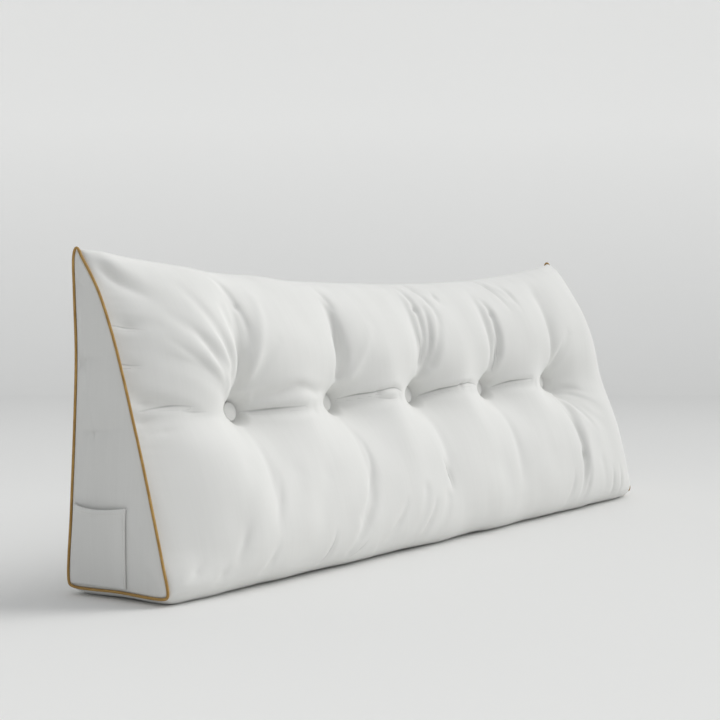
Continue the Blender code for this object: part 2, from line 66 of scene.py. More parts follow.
# Cross-section of the stuffed wedge, from the back of the base along the base,
# up the front, over the top and down the back. end_ is the seam at an end, mid_
# the full middle, and steps how many strips of faces lead to the next row.
SECTION = (
    # name            end_y    end_z   mid_y    mid_z  steps
    ("base_back",     0.0890,  0.0146, 0.078,   0.000, 4),
    ("base_middle",   0.000,   0.0140, 0.000,   0.000, 6),
    ("base_front",   -0.0888,  0.0133, -0.084,  0.000, 11),
    ("front_foot",   -0.0915,  0.0165, -0.116,  0.019, 13),
    ("lower_lobe",   -0.0803,  0.060,  -0.129,  0.062, 20),
    ("lobe_crown",   -0.0563,  0.140,  -0.123,  0.135, 19),
    ("lobe_top",     -0.0360,  0.205,  -0.109,  0.200, 20),
    ("button_line",  -0.0192,  0.255,  -0.092,  0.252, 21),
    ("upper_foot",    0.0013,  0.315,  -0.078,  0.305, 18),
    ("upper_lobe",    0.0260,  0.380,  -0.052,  0.362, 17),
    ("upper_crown",   0.0546,  0.440,  -0.013,  0.412, 12),
    ("top_front",     0.0868,  0.486,   0.032,  0.444, 9),
    ("top",           0.0966,  0.4988,  0.072,  0.451, 8),
    ("top_back",      0.1001,  0.490,   0.100,  0.436, 8),
    ("back_upper",    0.0973,  0.438,   0.120,  0.394, 8),
    ("back_high",     0.0905,  0.350,   0.131,  0.318, 8),
    ("back_middle",   0.0899,  0.250,   0.134,  0.220, 8),
    ("back_low",      0.0919,  0.125,   0.129,  0.110, 8),
    ("back_foot",     0.0929,  0.0185,  0.112,  0.021, 8),
)

# How the wedge fills out between its ends
SWELL_POWER = 8
HANG_POWER = 2.2
SETTLE_FROM = 0.955
LEFT_SLOPE_FROM = 0.73  # the front slopes to the left end from this share on
UPPER_HEIGHTS = (0.03, 0.12)

# Covered buttons
BUTTON_COUNT = 5
BUTTON_PITCH = 0.252
BUTTON_HEIGHT = 0.252
BUTTON_SEAT_Y = 0.001
BUTTON_TILT = math.radians(14.0)
BUTTON_RADIUS = 0.015
BUTTON_THICK = 0.0085
BUTTON_SIDES = 56
BUTTON_PROFILE = (      # radius and rise of each ring, as shares, from the back
    (0.60, 0.00), (0.86, 0.06), (0.96, 0.22), (1.00, 0.42), (0.99, 0.62),
    (0.95, 0.80), (0.89, 0.90), (0.83, 0.93), (0.76, 0.90), (0.66, 0.93),
    (0.50, 0.97), (0.33, 0.99), (0.16, 1.00),
)
SEAT_RADII = (0.0155, 0.029)    # the cloth is flat within the first and free
                                # outside the second, round a button's middle
TUFT_REACH = 0.100
DEEPEST_TUFT = 0.093    # nothing on the front is drawn in further than this
TUFT_LIMIT = 14         # how suddenly the cloth stops there
TUFT_SQUASH = 1.7
TUFTS_BELOW = (-0.01, 0.06)
TUFTS_ABOVE = (0.42, 0.50)

COLUMN_STEP = 0.0036    # a seventieth of the buttons' pitch
COLUMNS_AT_END = 74
END_EASE = 1.25

# Pocket on the left end panel
POCKET_FRONT_Y = -0.018
POCKET_MARGIN = 0.0065
POCKET_BOTTOM = 0.0175
POCKET_TOP = 0.1325
POCKET_SAG = 0.0045
POCKET_THICK = 0.0015
POCKET_GAPE = 0.0062
HEM_THICK = 0.0010
POCKET_LIFT = 0.0014
POCKET_STEPS = 56
POCKET_ROWS = 60
POCKET_HEM_FROM = 0.93

# Soft channels from every button, and the shallow channel that joins them
CHANNELS = (
    # name        along    up      width   depth   share
    ("upward",    0.000,   0.240,  0.075,  0.056,  0.00),
    ("downward", -0.030,  -0.200,  0.085,  0.040,  0.00),
)
ROW_STRETCHES = (
    # from     to       width   depth   share
    (-0.504,  -0.740,   0.120,  0.042,  0.40),
    (-0.504,   0.504,   0.060,  0.024,  1.00),
    (0.504,    0.700,   0.080,  0.026,  0.10),
)
BLEND = 4.0
CHANNEL_CREASE = 0.005
FOLD_SAMPLES = 25
FOLDS_STOP = (0.030, 0.001)

# Main folds of the solid: start, bend and end are metres along the wedge and up
# its cloth from the front foot. A positive depth is a trough. share is what is
# left of it at its end.
FOLDS = (
    # start           bend              end               width   depth   share
    # fan above the first button
    ((-0.506, 0.275), (-0.520, 0.345), (-0.530, 0.405),   0.020,  0.011,  0.20),
    ((-0.520, 0.270), (-0.575, 0.340), (-0.640, 0.385),   0.022,  0.008,  0.10),
    ((-0.515, 0.280), (-0.560, 0.365), (-0.600, 0.440),   0.022,  0.007,  0.10),
    ((-0.495, 0.290), (-0.460, 0.370), (-0.440, 0.430),   0.022, -0.005,  0.20),
    ((-0.490, 0.285), (-0.465, 0.315), (-0.430, 0.350),   0.022,  0.005,  0.20),
    ((-0.530, 0.255), (-0.600, 0.300), (-0.680, 0.325),   0.026,  0.006,  0.10),
    # ear and seam at the left end
    ((-0.725, 0.480), (-0.705, 0.440), (-0.660, 0.415),   0.030,  0.003,  0.10),
    ((-0.700, 0.470), (-0.665, 0.445), (-0.610, 0.415),   0.030, -0.002,  0.10),
    ((-0.735, 0.270), (-0.700, 0.268), (-0.640, 0.250),   0.022,  0.006,  0.20),
    ((-0.735, 0.370), (-0.705, 0.372), (-0.670, 0.372),   0.020,  0.005,  0.20),
    # creases in the row of buttons
    ((-0.470, 0.240), (-0.420, 0.236), (-0.350, 0.238),   0.018,  0.006,  0.40),
    ((-0.470, 0.262), (-0.400, 0.280), (-0.290, 0.262),   0.018,  0.005,  0.60),
    ((-0.225, 0.238), (-0.180, 0.242), (-0.100, 0.248),   0.018,  0.007,  0.40),
    ((0.026, 0.240),  (0.070, 0.245),  (0.140, 0.250),    0.018,  0.007,  0.40),
    ((0.283, 0.240),  (0.324, 0.245),  (0.396, 0.245),    0.018,  0.007,  0.40),
    # above the second, third, fourth and fifth buttons
    ((-0.250, 0.290), (-0.242, 0.350), (-0.250, 0.445),   0.018,  0.005,  0.00),
    ((-0.225, 0.285), (-0.200, 0.320), (-0.165, 0.375),   0.022, -0.004,  0.20),
    ((0.010, 0.280),  (0.020, 0.335),  (0.045, 0.455),    0.018,  0.006,  0.00),
    ((0.030, 0.300),  (0.050, 0.355),  (0.075, 0.395),    0.020,  0.007,  0.20),
    ((0.055, 0.475),  (0.120, 0.458),  (0.130, 0.415),    0.022,  0.003,  0.00),
    ((0.262, 0.285),  (0.285, 0.340),  (0.280, 0.450),    0.018,  0.005,  0.00),
    ((0.340, 0.470),  (0.375, 0.435),  (0.425, 0.400),    0.022,  0.003,  0.00),
    ((0.515, 0.265),  (0.530, 0.295),  (0.565, 0.335),    0.024,  0.007,  0.20),
    # fan beside the last button, with the long fold under it
    ((0.525, 0.228),  (0.560, 0.223),  (0.620, 0.215),    0.022,  0.007,  0.10),
    ((0.525, 0.222),  (0.570, 0.200),  (0.640, 0.170),    0.024,  0.007,  0.10),
    ((0.530, 0.215),  (0.560, 0.185),  (0.610, 0.150),    0.022,  0.006,  0.10),
    ((0.515, 0.205),  (0.505, 0.110),  (0.470, 0.000),    0.024,  0.008,  0.10),
    ((0.570, 0.075),  (0.580, 0.040),  (0.575, 0.010),    0.022,  0.002,  0.10),
    # pleats that slant to the left in the lower front
    ((-0.560, 0.160), (-0.600, 0.090), (-0.650, 0.010),   0.040,  0.002,  0.10),
    ((-0.455, 0.140), (-0.500, 0.070), (-0.555, 0.005),   0.040,  0.002,  0.10),
    ((-0.385, 0.130), (-0.420, 0.060), (-0.475, 0.000),   0.040,  0.002,  0.10),
    ((-0.115, 0.085), (-0.130, 0.040), (-0.170, 0.000),   0.024,  0.003,  0.20),
    ((-0.045, 0.065), (-0.060, 0.030), (-0.090, 0.000),   0.024,  0.003,  0.20),
)

# Sharp creases of the cloth. Each runs from its start through a middle point to
# its end. start_share and end_share are its strength there, against its middle.
CREASES = (
    # start           middle            end               width   depth  start end
    # fan above the first button
    ((-0.501, 0.286), (-0.507, 0.326), (-0.514, 0.377),   0.012,  0.006, 0.7, 0.2),
    ((-0.552, 0.284), (-0.586, 0.332), (-0.613, 0.369),   0.011,  0.004, 0.5, 0.1),
    ((-0.536, 0.296), (-0.549, 0.334), (-0.571, 0.370),   0.010,  0.004, 0.5, 0.1),
    ((-0.493, 0.341), (-0.486, 0.377), (-0.491, 0.410),   0.011,  0.003, 0.3, 0.8),
    ((-0.491, 0.410), (-0.500, 0.447), (-0.523, 0.474),   0.011,  0.003, 0.9, 0.1),
    ((-0.565, 0.285), (-0.613, 0.318), (-0.657, 0.349),   0.012,  0.003, 0.5, 0.1),
    ((-0.581, 0.296), (-0.623, 0.314), (-0.664, 0.325),   0.012,  0.002, 0.5, 0.1),
    # short wrinkles along the left seam
    ((-0.727, 0.486), (-0.715, 0.452), (-0.666, 0.419),   0.018,  0.005, 0.4, 0.2),
    ((-0.730, 0.367), (-0.715, 0.366), (-0.692, 0.363),   0.009,  0.003, 0.6, 0.1),
    ((-0.733, 0.315), (-0.722, 0.312), (-0.706, 0.312),   0.009,  0.003, 0.6, 0.1),
    ((-0.735, 0.257), (-0.707, 0.263), (-0.671, 0.264),   0.010,  0.004, 0.6, 0.1),
    ((-0.714, 0.252), (-0.674, 0.258), (-0.627, 0.254),   0.009,  0.004, 0.4, 0.1),
    ((-0.732, 0.234), (-0.717, 0.236), (-0.693, 0.242),   0.010,  0.003, 0.6, 0.1),
    ((-0.712, 0.217), (-0.689, 0.222), (-0.657, 0.227),   0.010,  0.002, 0.5, 0.1),
    ((-0.650, 0.250), (-0.631, 0.248), (-0.607, 0.247),   0.008,  0.002, 0.3, 0.2),
    # from button to button
    ((-0.479, 0.241), (-0.437, 0.243), (-0.375, 0.245),   0.008,  0.005, 0.3, 0.2),
    ((-0.466, 0.255), (-0.436, 0.264), (-0.388, 0.277),   0.012,  0.003, 0.4, 0.3),
    ((-0.427, 0.271), (-0.385, 0.278), (-0.334, 0.263),   0.010,  0.004, 0.2, 0.3),
    ((-0.225, 0.247), (-0.196, 0.252), (-0.157, 0.257),   0.008,  0.006, 0.3, 0.7),
    ((-0.157, 0.257), (-0.120, 0.262), (-0.086, 0.255),   0.008,  0.005, 0.8, 0.3),
    ((-0.167, 0.249), (-0.133, 0.245), (-0.106, 0.244),   0.008,  0.002, 0.3, 0.1),
    ((0.028, 0.241),  (0.062, 0.249),  (0.112, 0.256),    0.008,  0.006, 0.3, 0.7),
    ((0.112, 0.256),  (0.147, 0.258),  (0.190, 0.252),    0.008,  0.005, 0.8, 0.2),
    ((0.286, 0.244),  (0.322, 0.251),  (0.380, 0.255),    0.008,  0.006, 0.3, 0.3),
    # above the second button
    ((-0.262, 0.296), (-0.246, 0.354), (-0.244, 0.416),   0.011,  0.006, 0.7, 0.5),
    ((-0.235, 0.415), (-0.238, 0.436), (-0.248, 0.466),   0.011,  0.003, 0.6, 0.1),
    ((-0.246, 0.290), (-0.240, 0.317), (-0.236, 0.341),   0.010,  0.004, 0.7, 0.2),
    # above the third button
    ((0.005, 0.300),  (0.018, 0.357),  (0.022, 0.413),    0.011,  0.006, 0.6, 0.8),
    ((0.022, 0.413),  (0.023, 0.444),  (0.016, 0.476),    0.011,  0.004, 0.9, 0.2),
    ((0.012, 0.272),  (0.031, 0.347),  (0.046, 0.413),    0.013,  0.008, 0.5, 0.3),
    ((0.005, 0.304),  (0.008, 0.328),  (0.005, 0.353),    0.009,  0.003, 0.4, 0.2),
    ((0.070, 0.382),  (0.076, 0.435),  (0.070, 0.490),    0.012,  0.004, 0.2, 0.4),
    ((0.113, 0.431),  (0.118, 0.447),  (0.122, 0.462),    0.010,  0.003, 0.3, 0.3),
    # above the fourth button
    ((0.272, 0.307),  (0.277, 0.348),  (0.279, 0.394),    0.010,  0.005, 0.8, 0.7),
    ((0.279, 0.394),  (0.277, 0.415),  (0.268, 0.436),    0.010,  0.003, 0.9, 0.1),
    ((0.266, 0.278),  (0.268, 0.315),  (0.267, 0.348),    0.009,  0.003, 0.6, 0.2),
    ((0.355, 0.404),  (0.347, 0.453),  (0.329, 0.490),    0.011,  0.004, 0.2, 0.5),
    ((0.396, 0.399),  (0.394, 0.442),  (0.379, 0.470),    0.011,  0.003, 0.2, 0.2),
    # round the last button
    ((0.518, 0.275),  (0.525, 0.295),  (0.539, 0.321),    0.010,  0.003, 0.7, 0.2),
    ((0.524, 0.226),  (0.563, 0.226),  (0.604, 0.216),    0.011,  0.003, 0.5, 0.1),
    ((0.530, 0.221),  (0.565, 0.212),  (0.627, 0.186),    0.011,  0.003, 0.5, 0.1),
    ((0.526, 0.215),  (0.545, 0.186),  (0.573, 0.144),    0.011,  0.004, 0.5, 0.1),
    ((0.487, 0.203),  (0.503, 0.146),  (0.497, 0.093),    0.012,  0.005, 0.3, 1.0),
    ((0.497, 0.093),  (0.485, 0.055),  (0.460, 0.015),    0.012,  0.006, 1.0, 0.2),
    ((0.505, 0.065),  (0.495, 0.035),  (0.480, 0.010),    0.010,  0.003, 0.3, 0.3),
    ((0.435, 0.064),  (0.426, 0.037),  (0.406, 0.009),    0.010,  0.003, 0.2, 0.3),
    ((0.615, 0.060),  (0.620, 0.030),  (0.617, 0.000),    0.010,  0.003, 0.2, 0.3),
    ((0.655, 0.060),  (0.660, 0.030),  (0.657, 0.000),    0.010,  0.003, 0.2, 0.3),
    # lower front
    ((-0.034, 0.128), (-0.025, 0.106), (-0.024, 0.084),   0.009,  0.004, 0.3, 0.3),
    ((-0.180, 0.073), (-0.210, 0.041), (-0.262, 0.005),   0.010,  0.004, 0.2, 0.4),
    ((-0.091, 0.063), (-0.115, 0.030), (-0.149, 0.000),   0.011,  0.004, 0.3, 0.3),
    ((-0.277, 0.094), (-0.303, 0.063), (-0.325, 0.035),   0.012,  0.004, 0.3, 0.3),
    ((-0.251, 0.182), (-0.261, 0.123), (-0.317, 0.061),   0.012,  0.004, 0.2, 0.6),
    ((-0.265, 0.101), (-0.289, 0.068), (-0.348, 0.007),   0.012,  0.005, 0.2, 0.4),
    ((-0.389, 0.045), (-0.401, 0.020), (-0.421, 0.000),   0.009,  0.003, 0.2, 0.3),
    ((-0.301, 0.023), (-0.319, 0.010), (-0.339, 0.000),   0.008,  0.002, 0.2, 0.3),
    ((-0.501, 0.141), (-0.517, 0.105), (-0.533, 0.080),   0.010,  0.002, 0.2, 0.2),
    ((-0.598, 0.080), (-0.609, 0.062), (-0.625, 0.036),   0.011,  0.003, 0.2, 0.3),
    ((-0.534, 0.048), (-0.550, 0.025), (-0.568, 0.008),   0.010,  0.003, 0.2, 0.3),
    ((-0.642, 0.028), (-0.655, 0.017), (-0.668, 0.008),   0.010,  0.003, 0.2, 0.3),
    ((-0.688, 0.036), (-0.703, 0.026), (-0.716, 0.017),   0.010,  0.003, 0.2, 0.3),
)
CREASE_ROUND = 0.0018   # how far the bottom of a sharp crease is rounded
LIP = 0.22              # height of the ridges beside a crease, against its depth
# A crease's fine line is a groove in the bump with painted shade that darkens the cloth along it.
CREASE_LINE = (0.0035, 0.0065)  # a crease's fine line fades between these
DEEPEST_CREASE = 0.006
NARROW = 0.0095         # only creases up to this width show as a fine line

# Unevenness of the filling: wavelengths and heights of its lumps, largest first
LUMPS = ((0.170, 0.0012), (0.080, 0.0004))
LUMP_WAVES = 9          # waves of one size in different directions
PUCKER_PITCH = 0.013    # from one pucker of an end seam to the next
PUCKER_DEPTH = 0.0007
PUCKER_REACH = 0.014    # how far the puckers run into the cloth
SEED = 7

# Folds of the end panels, as y and z of their start, middle and end. A positive
# depth is a hollow.
PANEL_FOLDS = (
    # start           middle            end               width   depth  start end
    ((0.090, 0.330),  (0.062, 0.343),   (0.030, 0.345),   0.022,  0.0034, 0.5, 0.1),
    ((0.090, 0.235),  (0.050, 0.236),   (0.000, 0.246),   0.020,  0.0034, 0.2, 0.6),
    ((0.094, 0.462),  (0.088, 0.448),   (0.075, 0.440),   0.020,  0.0030, 0.5, 0.2),
    ((0.090, 0.410),  (0.070, 0.402),   (0.048, 0.405),   0.020, -0.0012, 0.5, 0.2),
    ((0.085, 0.290),  (0.055, 0.285),   (0.020, 0.292),   0.024, -0.0012, 0.4, 0.2),
    ((-0.060, 0.020), (-0.050, 0.040),  (-0.042, 0.062),  0.016,  0.0020, 0.5, 0.1),
    ((-0.078, 0.025), (-0.068, 0.030),  (-0.055, 0.028),  0.014, -0.0012, 0.5, 0.2),
    ((0.092, 0.030),  (0.080, 0.045),   (0.076, 0.060),   0.016,  0.0012, 0.5, 0.1),
)
PANEL_RINGS = 44        # rings of faces from an end panel's cut edge to its middle
PANEL_HELD = 0.012      # an end panel's folds start this far inside its edge

# Sewing thread, in metres
STITCH_LENGTH = 0.0030
STITCH_GAP = 0.0009
THREAD_RADIUS = 0.00030

# Camera, in the wedge's own metres, as fitted to the photo's seams and corners
CAMERA_AT = (-2.450, -1.569, 0.435)
CAMERA_YAW = math.radians(34.19)
CAMERA_PITCH = math.radians(-2.35)
CAMERA_LENS = 81.3


def ease(value, start, end):
    t = np.clip((value - start) / (end - start), 0.0, 1.0)
    return t * t * (3 - 2 * t)


def round_curve(corners, steps):
    """A closed smooth curve through corners, with steps[i] points from corner i
    on. Its pace follows the distances, so that a short side doesn't overshoot."""
    count = len(corners)
    points = []
    for i in range(count):
        a, b, c, d = (corners[(i + k) % count] for k in (-1, 0, 1, 2))
        ab, bc, cd = (math.sqrt(np.linalg.norm(q - p)) for p, q in ((a, b), (b, c), (c, d)))
        leave = ((b - a) / ab - (c - a) / (ab + bc) + (c - b) / bc) * bc
        arrive = ((c - b) / bc - (d - b) / (bc + cd) + (d - c) / cd) * bc
        for step in range(steps[i]):
            t = step / steps[i]
            points.append((2 * t ** 3 - 3 * t ** 2 + 1) * b + (t ** 3 - 2 * t ** 2 + t) * leave
                          + (3 * t ** 2 - 2 * t ** 3) * c + (t ** 3 - t ** 2) * arrive)
    return np.array(points)


def section_curves(refine=1):
    """The end outline and the full middle outline, as matching y, z points."""
    steps = [row[5] * refine for row in SECTION]
    seam = round_curve([np.array(row[1:3]) for row in SECTION], steps)
    middle = round_curve([np.array(row[3:5]) for row in SECTION], steps)
    return seam, middle


def row_index(name):
    names = [row[0] for row in SECTION]
    return sum(row[5] for row in SECTION[:names.index(name)])


def outline_outward(outline):
    """Unit directions out of an end outline, in its own plane."""
    around = np.roll(outline, -1, axis=0) - np.roll(outline, 1, axis=0)
    out = np.stack([around[:, 1], -around[:, 0]], axis=1)
    out /= np.linalg.norm(out, axis=1, keepdims=True)
    middle = np.array(END_CENTRE)
    return out if ((outline - middle) * out).sum() > 0 else -out


def end_lean(z):
    """How far inside LENGTH / 2 an end lies at a height."""
    return TOP_INSET * z / EAR_HEIGHT


def piping_path():
    """Y, z of the piping's middle line, and how far it lies off the end seam."""
    outline = section_curves(2)[0]
    offset = (PIPING_RADIUS + PIPING_GAP) / math.sqrt(2)
    return outline + outline_outward(outline) * offset, outline_outward(outline), offset


def frame_shift():
    """From the wedge's own metres to the frame's, by the pipings' middle."""
    low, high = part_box("piping_left")
    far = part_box("piping_right")[1]
    path = piping_path()[0]
    middle_y = (path[:, 0].min() + path[:, 0].max()) / 2
    return np.array([(low.x + far.x) / 2, (low.y + high.y) / 2 - middle_y, 0.0])


SHIFT = frame_shift()
SEAM, MIDDLE = section_curves()
ROW = row_index("button_line")


def cloth_height():
    """The way up the cloth to each point of a section, from the front foot."""
    closed = np.vstack([MIDDLE, MIDDLE[:1]])
    steps = np.linalg.norm(np.diff(closed, axis=0), axis=1)
    travelled = np.concatenate([[0.0], np.cumsum(steps)])
    return travelled - travelled[row_index("front_foot")]


HEIGHT = cloth_height()


def column_places():
    """X of each column of faces: even over the buttons, closer at the ends."""
    last = (BUTTON_COUNT // 2) * BUTTON_PITCH
    even = np.arange(round(last / COLUMN_STEP) + 1) * COLUMN_STEP
    share = np.linspace(0.0, 1.0, COLUMNS_AT_END + 1)[1:]
    half = np.concatenate([even, last + (LENGTH / 2 - last) * (1 - (1 - share) ** END_EASE)])
    return np.concatenate([-half[:0:-1], half])


def front_share(height):
    """1 on the front, and 0 under the base, on the top and down the back."""
    return ease(height, *TUFTS_BELOW) * (1 - ease(height, *TUFTS_ABOVE))


def wedge_form(columns):
    """The stuffed wedge before its tufts and folds."""
    share = np.abs(columns)[:, None] / (LENGTH / 2)
    fullness = np.sqrt(1 - np.minimum(share, 1.0) ** SWELL_POWER)
    hang = 1 - share ** HANG_POWER
    settle = np.sqrt(1 - np.clip((share - SETTLE_FROM) / (1 - SETTLE_FROM), 0.0, 1.0) ** 2)
    upper = ease(SEAM[:, 1], *UPPER_HEIGHTS)[None, :]
    rise = settle * (1 - upper) + hang * upper
    x = columns[:, None] * (1 - end_lean(SEAM[None, :, 1]) / (LENGTH / 2))
    slope = 1 - np.clip((share - LEFT_SLOPE_FROM) / (1 - LEFT_SLOPE_FROM), 0.0, 1.0) ** 2
    sloping = front_share(HEIGHT[:-1])[None, :] * (columns[:, None] < 0)
    fullness = fullness + (slope - fullness) * sloping
    y = SEAM[None, :, 0] + (MIDDLE - SEAM)[None, :, 0] * fullness
    z = SEAM[None, :, 1] + (MIDDLE - SEAM)[None, :, 1] * rise
    return np.stack([x, y, np.maximum(z, 0.0)], axis=-1)


def outward(form):
    """Unit normals of the form's grid, out of the filling."""
    along = np.gradient(form, axis=0)
    around = (np.roll(form, -1, axis=1) - np.roll(form, 1, axis=1)) / 2
    normal = np.cross(along, around)
    return normal / np.maximum(np.linalg.norm(normal, axis=-1, keepdims=True), 1e-9)


def bend_through(start, middle, end):
    """The bend that makes a fold pass through a middle point."""
    return tuple(2 * m - (a + b) / 2 for a, m, b in zip(start, middle, end))


def fold_distance(x, height, start, bend, end):
    """Distance of each point from a fold's line, above zero on one side and
    below it on the other, and how far along the line that is."""
    start, bend, end = (np.array(p) for p in (start, bend, end))
    nearest = np.full(x.shape, np.inf)
    along = np.zeros_like(x)
    spread = np.linspace(0.0, 1.0, FOLD_SAMPLES)
    places = [(1 - t) ** 2 * start + 2 * t * (1 - t) * bend + t ** 2 * end for t in spread]
    for n, (a, b) in enumerate(zip(places, places[1:])):
        run = b - a
        share = ((x - a[0]) * run[0] + (height - a[1]) * run[1]) / (run @ run)
        share = np.clip(share, 0.0, 1.0)
        off_x = x - a[0] - share * run[0]
        off_h = height - a[1] - share * run[1]
        away = np.hypot(off_x, off_h)
        closer = away < np.abs(nearest)
        side = np.where(run[0] * off_h - run[1] * off_x >= 0, 1.0, -1.0)
        along = np.where(closer, (n + share) / (FOLD_SAMPLES - 1), along)
        nearest = np.where(closer, side * away, nearest)
    return nearest, along


def fold_shape(x, height, start, bend, end, width, fade, sharp=False):
    """How strongly one fold acts at each point of the grid, from 0 to 1."""
    nearest, along = fold_distance(x, height, start, bend, end)
    if sharp:
        side = (np.hypot(nearest, CHANNEL_CREASE) - CHANNEL_CREASE) / (width / 2)
    else:
        side = (nearest / (width / 2)) ** 2
    return (1 - (1 - fade) * along) * np.exp(-side)


def crease_shape(x, height, start, middle, end, width, start_share, end_share):
    """A sharp crease with a low ridge at both sides, fading at both ends. Also
    gives the distance from its line and its strength there."""
    nearest, along = fold_distance(x, height, start, bend_through(start, middle, end), end)
    reach = (np.hypot(nearest, CREASE_ROUND) - CREASE_ROUND) / (width / 2)
    strength = np.where(along < 0.5, start_share + (1 - start_share) * along * 2,
                        end_share + (1 - end_share) * (1 - along) * 2)
    ridge = LIP * (reach / 2) ** 2 * np.exp(2 - reach)
    return strength * (np.exp(-reach) - ridge), nearest, strength


def unevenness(x, height):
    """Soft lumps of the filling, from waves in seeded directions."""
    draw = np.random.default_rng(SEED)
    lumps = np.zeros_like(x)
    for wavelength, rise in LUMPS:
        for _ in range(LUMP_WAVES):
            turn, phase, stretch = draw.uniform(0, (2 * math.pi, 2 * math.pi, 0.5))
            pace = 2 * math.pi / (wavelength * (0.8 + stretch))
            wave = np.sin(pace * (x * math.cos(turn) + height * math.sin(turn)) + phase)
            lumps += rise / math.sqrt(LUMP_WAVES) * wave
    return lumps


def puckers(columns, height):
    """Small gathers that the seam to an end panel draws into the cloth."""
    inside = (LENGTH / 2 - np.abs(columns))[:, None]
    wobble = 2.1 * np.sin(height / 0.047) + 1.3 * np.sin(height / 0.021 + 1.0)
    wave = np.cos(2 * math.pi * height / PUCKER_PITCH + wobble + np.sign(columns)[:, None])
    strength = 0.6 + 0.4 * np.sin(height / 0.033 + 2.0)
    rise = np.exp(-inside / PUCKER_REACH) * (1 - np.exp(-inside / 0.002))
    return PUCKER_DEPTH * wave * strength * rise


def button_places():
    middle = (BUTTON_COUNT - 1) / 2
    return [(i - middle) * BUTTON_PITCH for i in range(BUTTON_COUNT)]


def seat_directions():
    """Along, up and out of the tilted seat that every button is sewn on."""
    along = np.array([1.0, 0.0, 0.0])
    up = np.array([0.0, math.sin(BUTTON_TILT), math.cos(BUTTON_TILT)])
    return along, up, np.cross(along, up)


def tuft_pull(form, columns, x, height):
    """How far the buttons and their soft channels draw the front in."""
    row = HEIGHT[ROW]
    powers = np.zeros_like(x)
    for place in button_places():
        column = int(np.argmin(np.abs(columns - place)))
        depth = BUTTON_SEAT_Y - form[column, ROW, 1]
        away = np.hypot(x - place, (height - row) * TUFT_SQUASH)
        powers += (depth * np.exp(-away / TUFT_REACH)) ** BLEND
        for name, along, up, width, depth, share in CHANNELS:
            bend = (place + along / 2, row + up / 2)
            shape = fold_shape(x, height, (place, row), bend, (place + along, row + up),
                               width, share, sharp=True)
            powers += (depth * shape) ** BLEND
    for start, end, width, depth, share in ROW_STRETCHES:
        bend = ((start + end) / 2, row)
        shape = fold_shape(x, height, (start, row), bend, (end, row), width, share,
                           sharp=True)
        powers += (depth * shape) ** BLEND
    pull = powers ** (1 / BLEND)
    return pull / (1 + (pull / DEEPEST_TUFT) ** TUFT_LIMIT) ** (1 / TUFT_LIMIT)


def wedge_grid(columns):
    """The cloth's points, one row for each column of faces."""
    form = wedge_form(columns)
    x = form[:, :, 0]
    height = np.broadcast_to(HEIGHT[None, :-1], x.shape)
    front = front_share(height)
    points = form.copy()
    points[:, :, 1] += tuft_pull(form, columns, x, height) * front

    stop_from, stop_at = (LENGTH / 2 - inside for inside in FOLDS_STOP)
    off_end = 1 - ease(np.abs(columns), stop_from, stop_at)[:, None]
    depth = np.zeros_like(x)
    for start, bend, end, width, deep, fade in FOLDS:
        depth += deep * fold_shape(x, height, start, bend, end, width, fade)
    points -= outward(form) * (depth * off_end)[:, :, None]

    depth = -unevenness(x, height) - puckers(columns, height)
    line_off = np.full(x.shape, CREASE_LINE[1])
    line_strength = np.zeros_like(x)
    for start, middle, end, width, deep, *shares in CREASES:
        shape, nearest, strength = crease_shape(x, height, start, middle, end, width, *shares)
        depth += deep * shape
        if width > NARROW:
            continue
        strength = strength * deep / DEEPEST_CREASE * (1 - ease(np.abs(nearest), *CREASE_LINE))
        line_off = np.where(strength > line_strength, nearest, line_off)
        line_strength = np.maximum(line_strength, strength)
    points -= outward(points) * (depth * off_end)[:, :, None]
    points[:, :, 2] = np.maximum(points[:, :, 2], 0.0)
    seat_buttons(points)
    points[0] = wedge_form(columns[:1])[0]
    points[-1] = wedge_form(columns[-1:])[0]
    return points, line_off, line_strength


def seat_buttons(points):
    """Lays the cloth under each button flat on the button's tilted seat."""
    along, up, out = seat_directions()
    for place in button_places():
        off = points - np.array([place, BUTTON_SEAT_Y, BUTTON_HEIGHT])
        held = 1 - ease(np.hypot(off @ along, off @ up), *SEAT_RADII)
        held *= points[:, :, 1] < 2 * SEAT_RADII[1]
        points -= (held * (off @ out))[:, :, None] * out


def add_mesh(name, points, faces, uvs=None, smooth=True):
    """A mesh object from frame points. uvs holds one pair for each face corner."""
    mesh = bpy.data.meshes.new(name)
    mesh.from_pydata(np.asarray(points, float).tolist(), [], faces)
    if uvs is not None:
        layer = mesh.uv_layers.new(name="cloth")
        layer.data.foreach_set("uv", np.asarray(uvs, np.float32).ravel())
    if smooth:
        mesh.shade_smooth()
    made = bpy.data.objects.new(name, mesh)
    bpy.context.scene.collection.objects.link(made)
    return made


def grid_faces(across, around):
    """Quads of a tube of across by around points, outwards as in the solid."""
    i, j = np.meshgrid(np.arange(across - 1), np.arange(around), indexing="ij")
    k = (j + 1) % around
    quads = np.stack([i * around + j, (i + 1) * around + j,
                      (i + 1) * around + k, i * around + k], axis=-1)
    return quads.reshape(-1, 4).tolist(), i.ravel(), j.ravel()


def cap_points(side, outline, shares, crown, shift=0.0):
    """Rings of an end from its cut edge inward, one for each share of the way from its middle."""
    centre = np.array(END_CENTRE)
    cut_edge = outline - outline_outward(outline) * PANEL_INSET
    rings = []
    for share in shares:
        flat = cut_edge if share == 1.0 else centre + (cut_edge - centre) * share
        reach = LENGTH / 2 - end_lean(flat[:, 1]) + crown * (1 - share ** 2) + shift
        rings.append(np.column_stack([side * reach, flat]))
    return rings


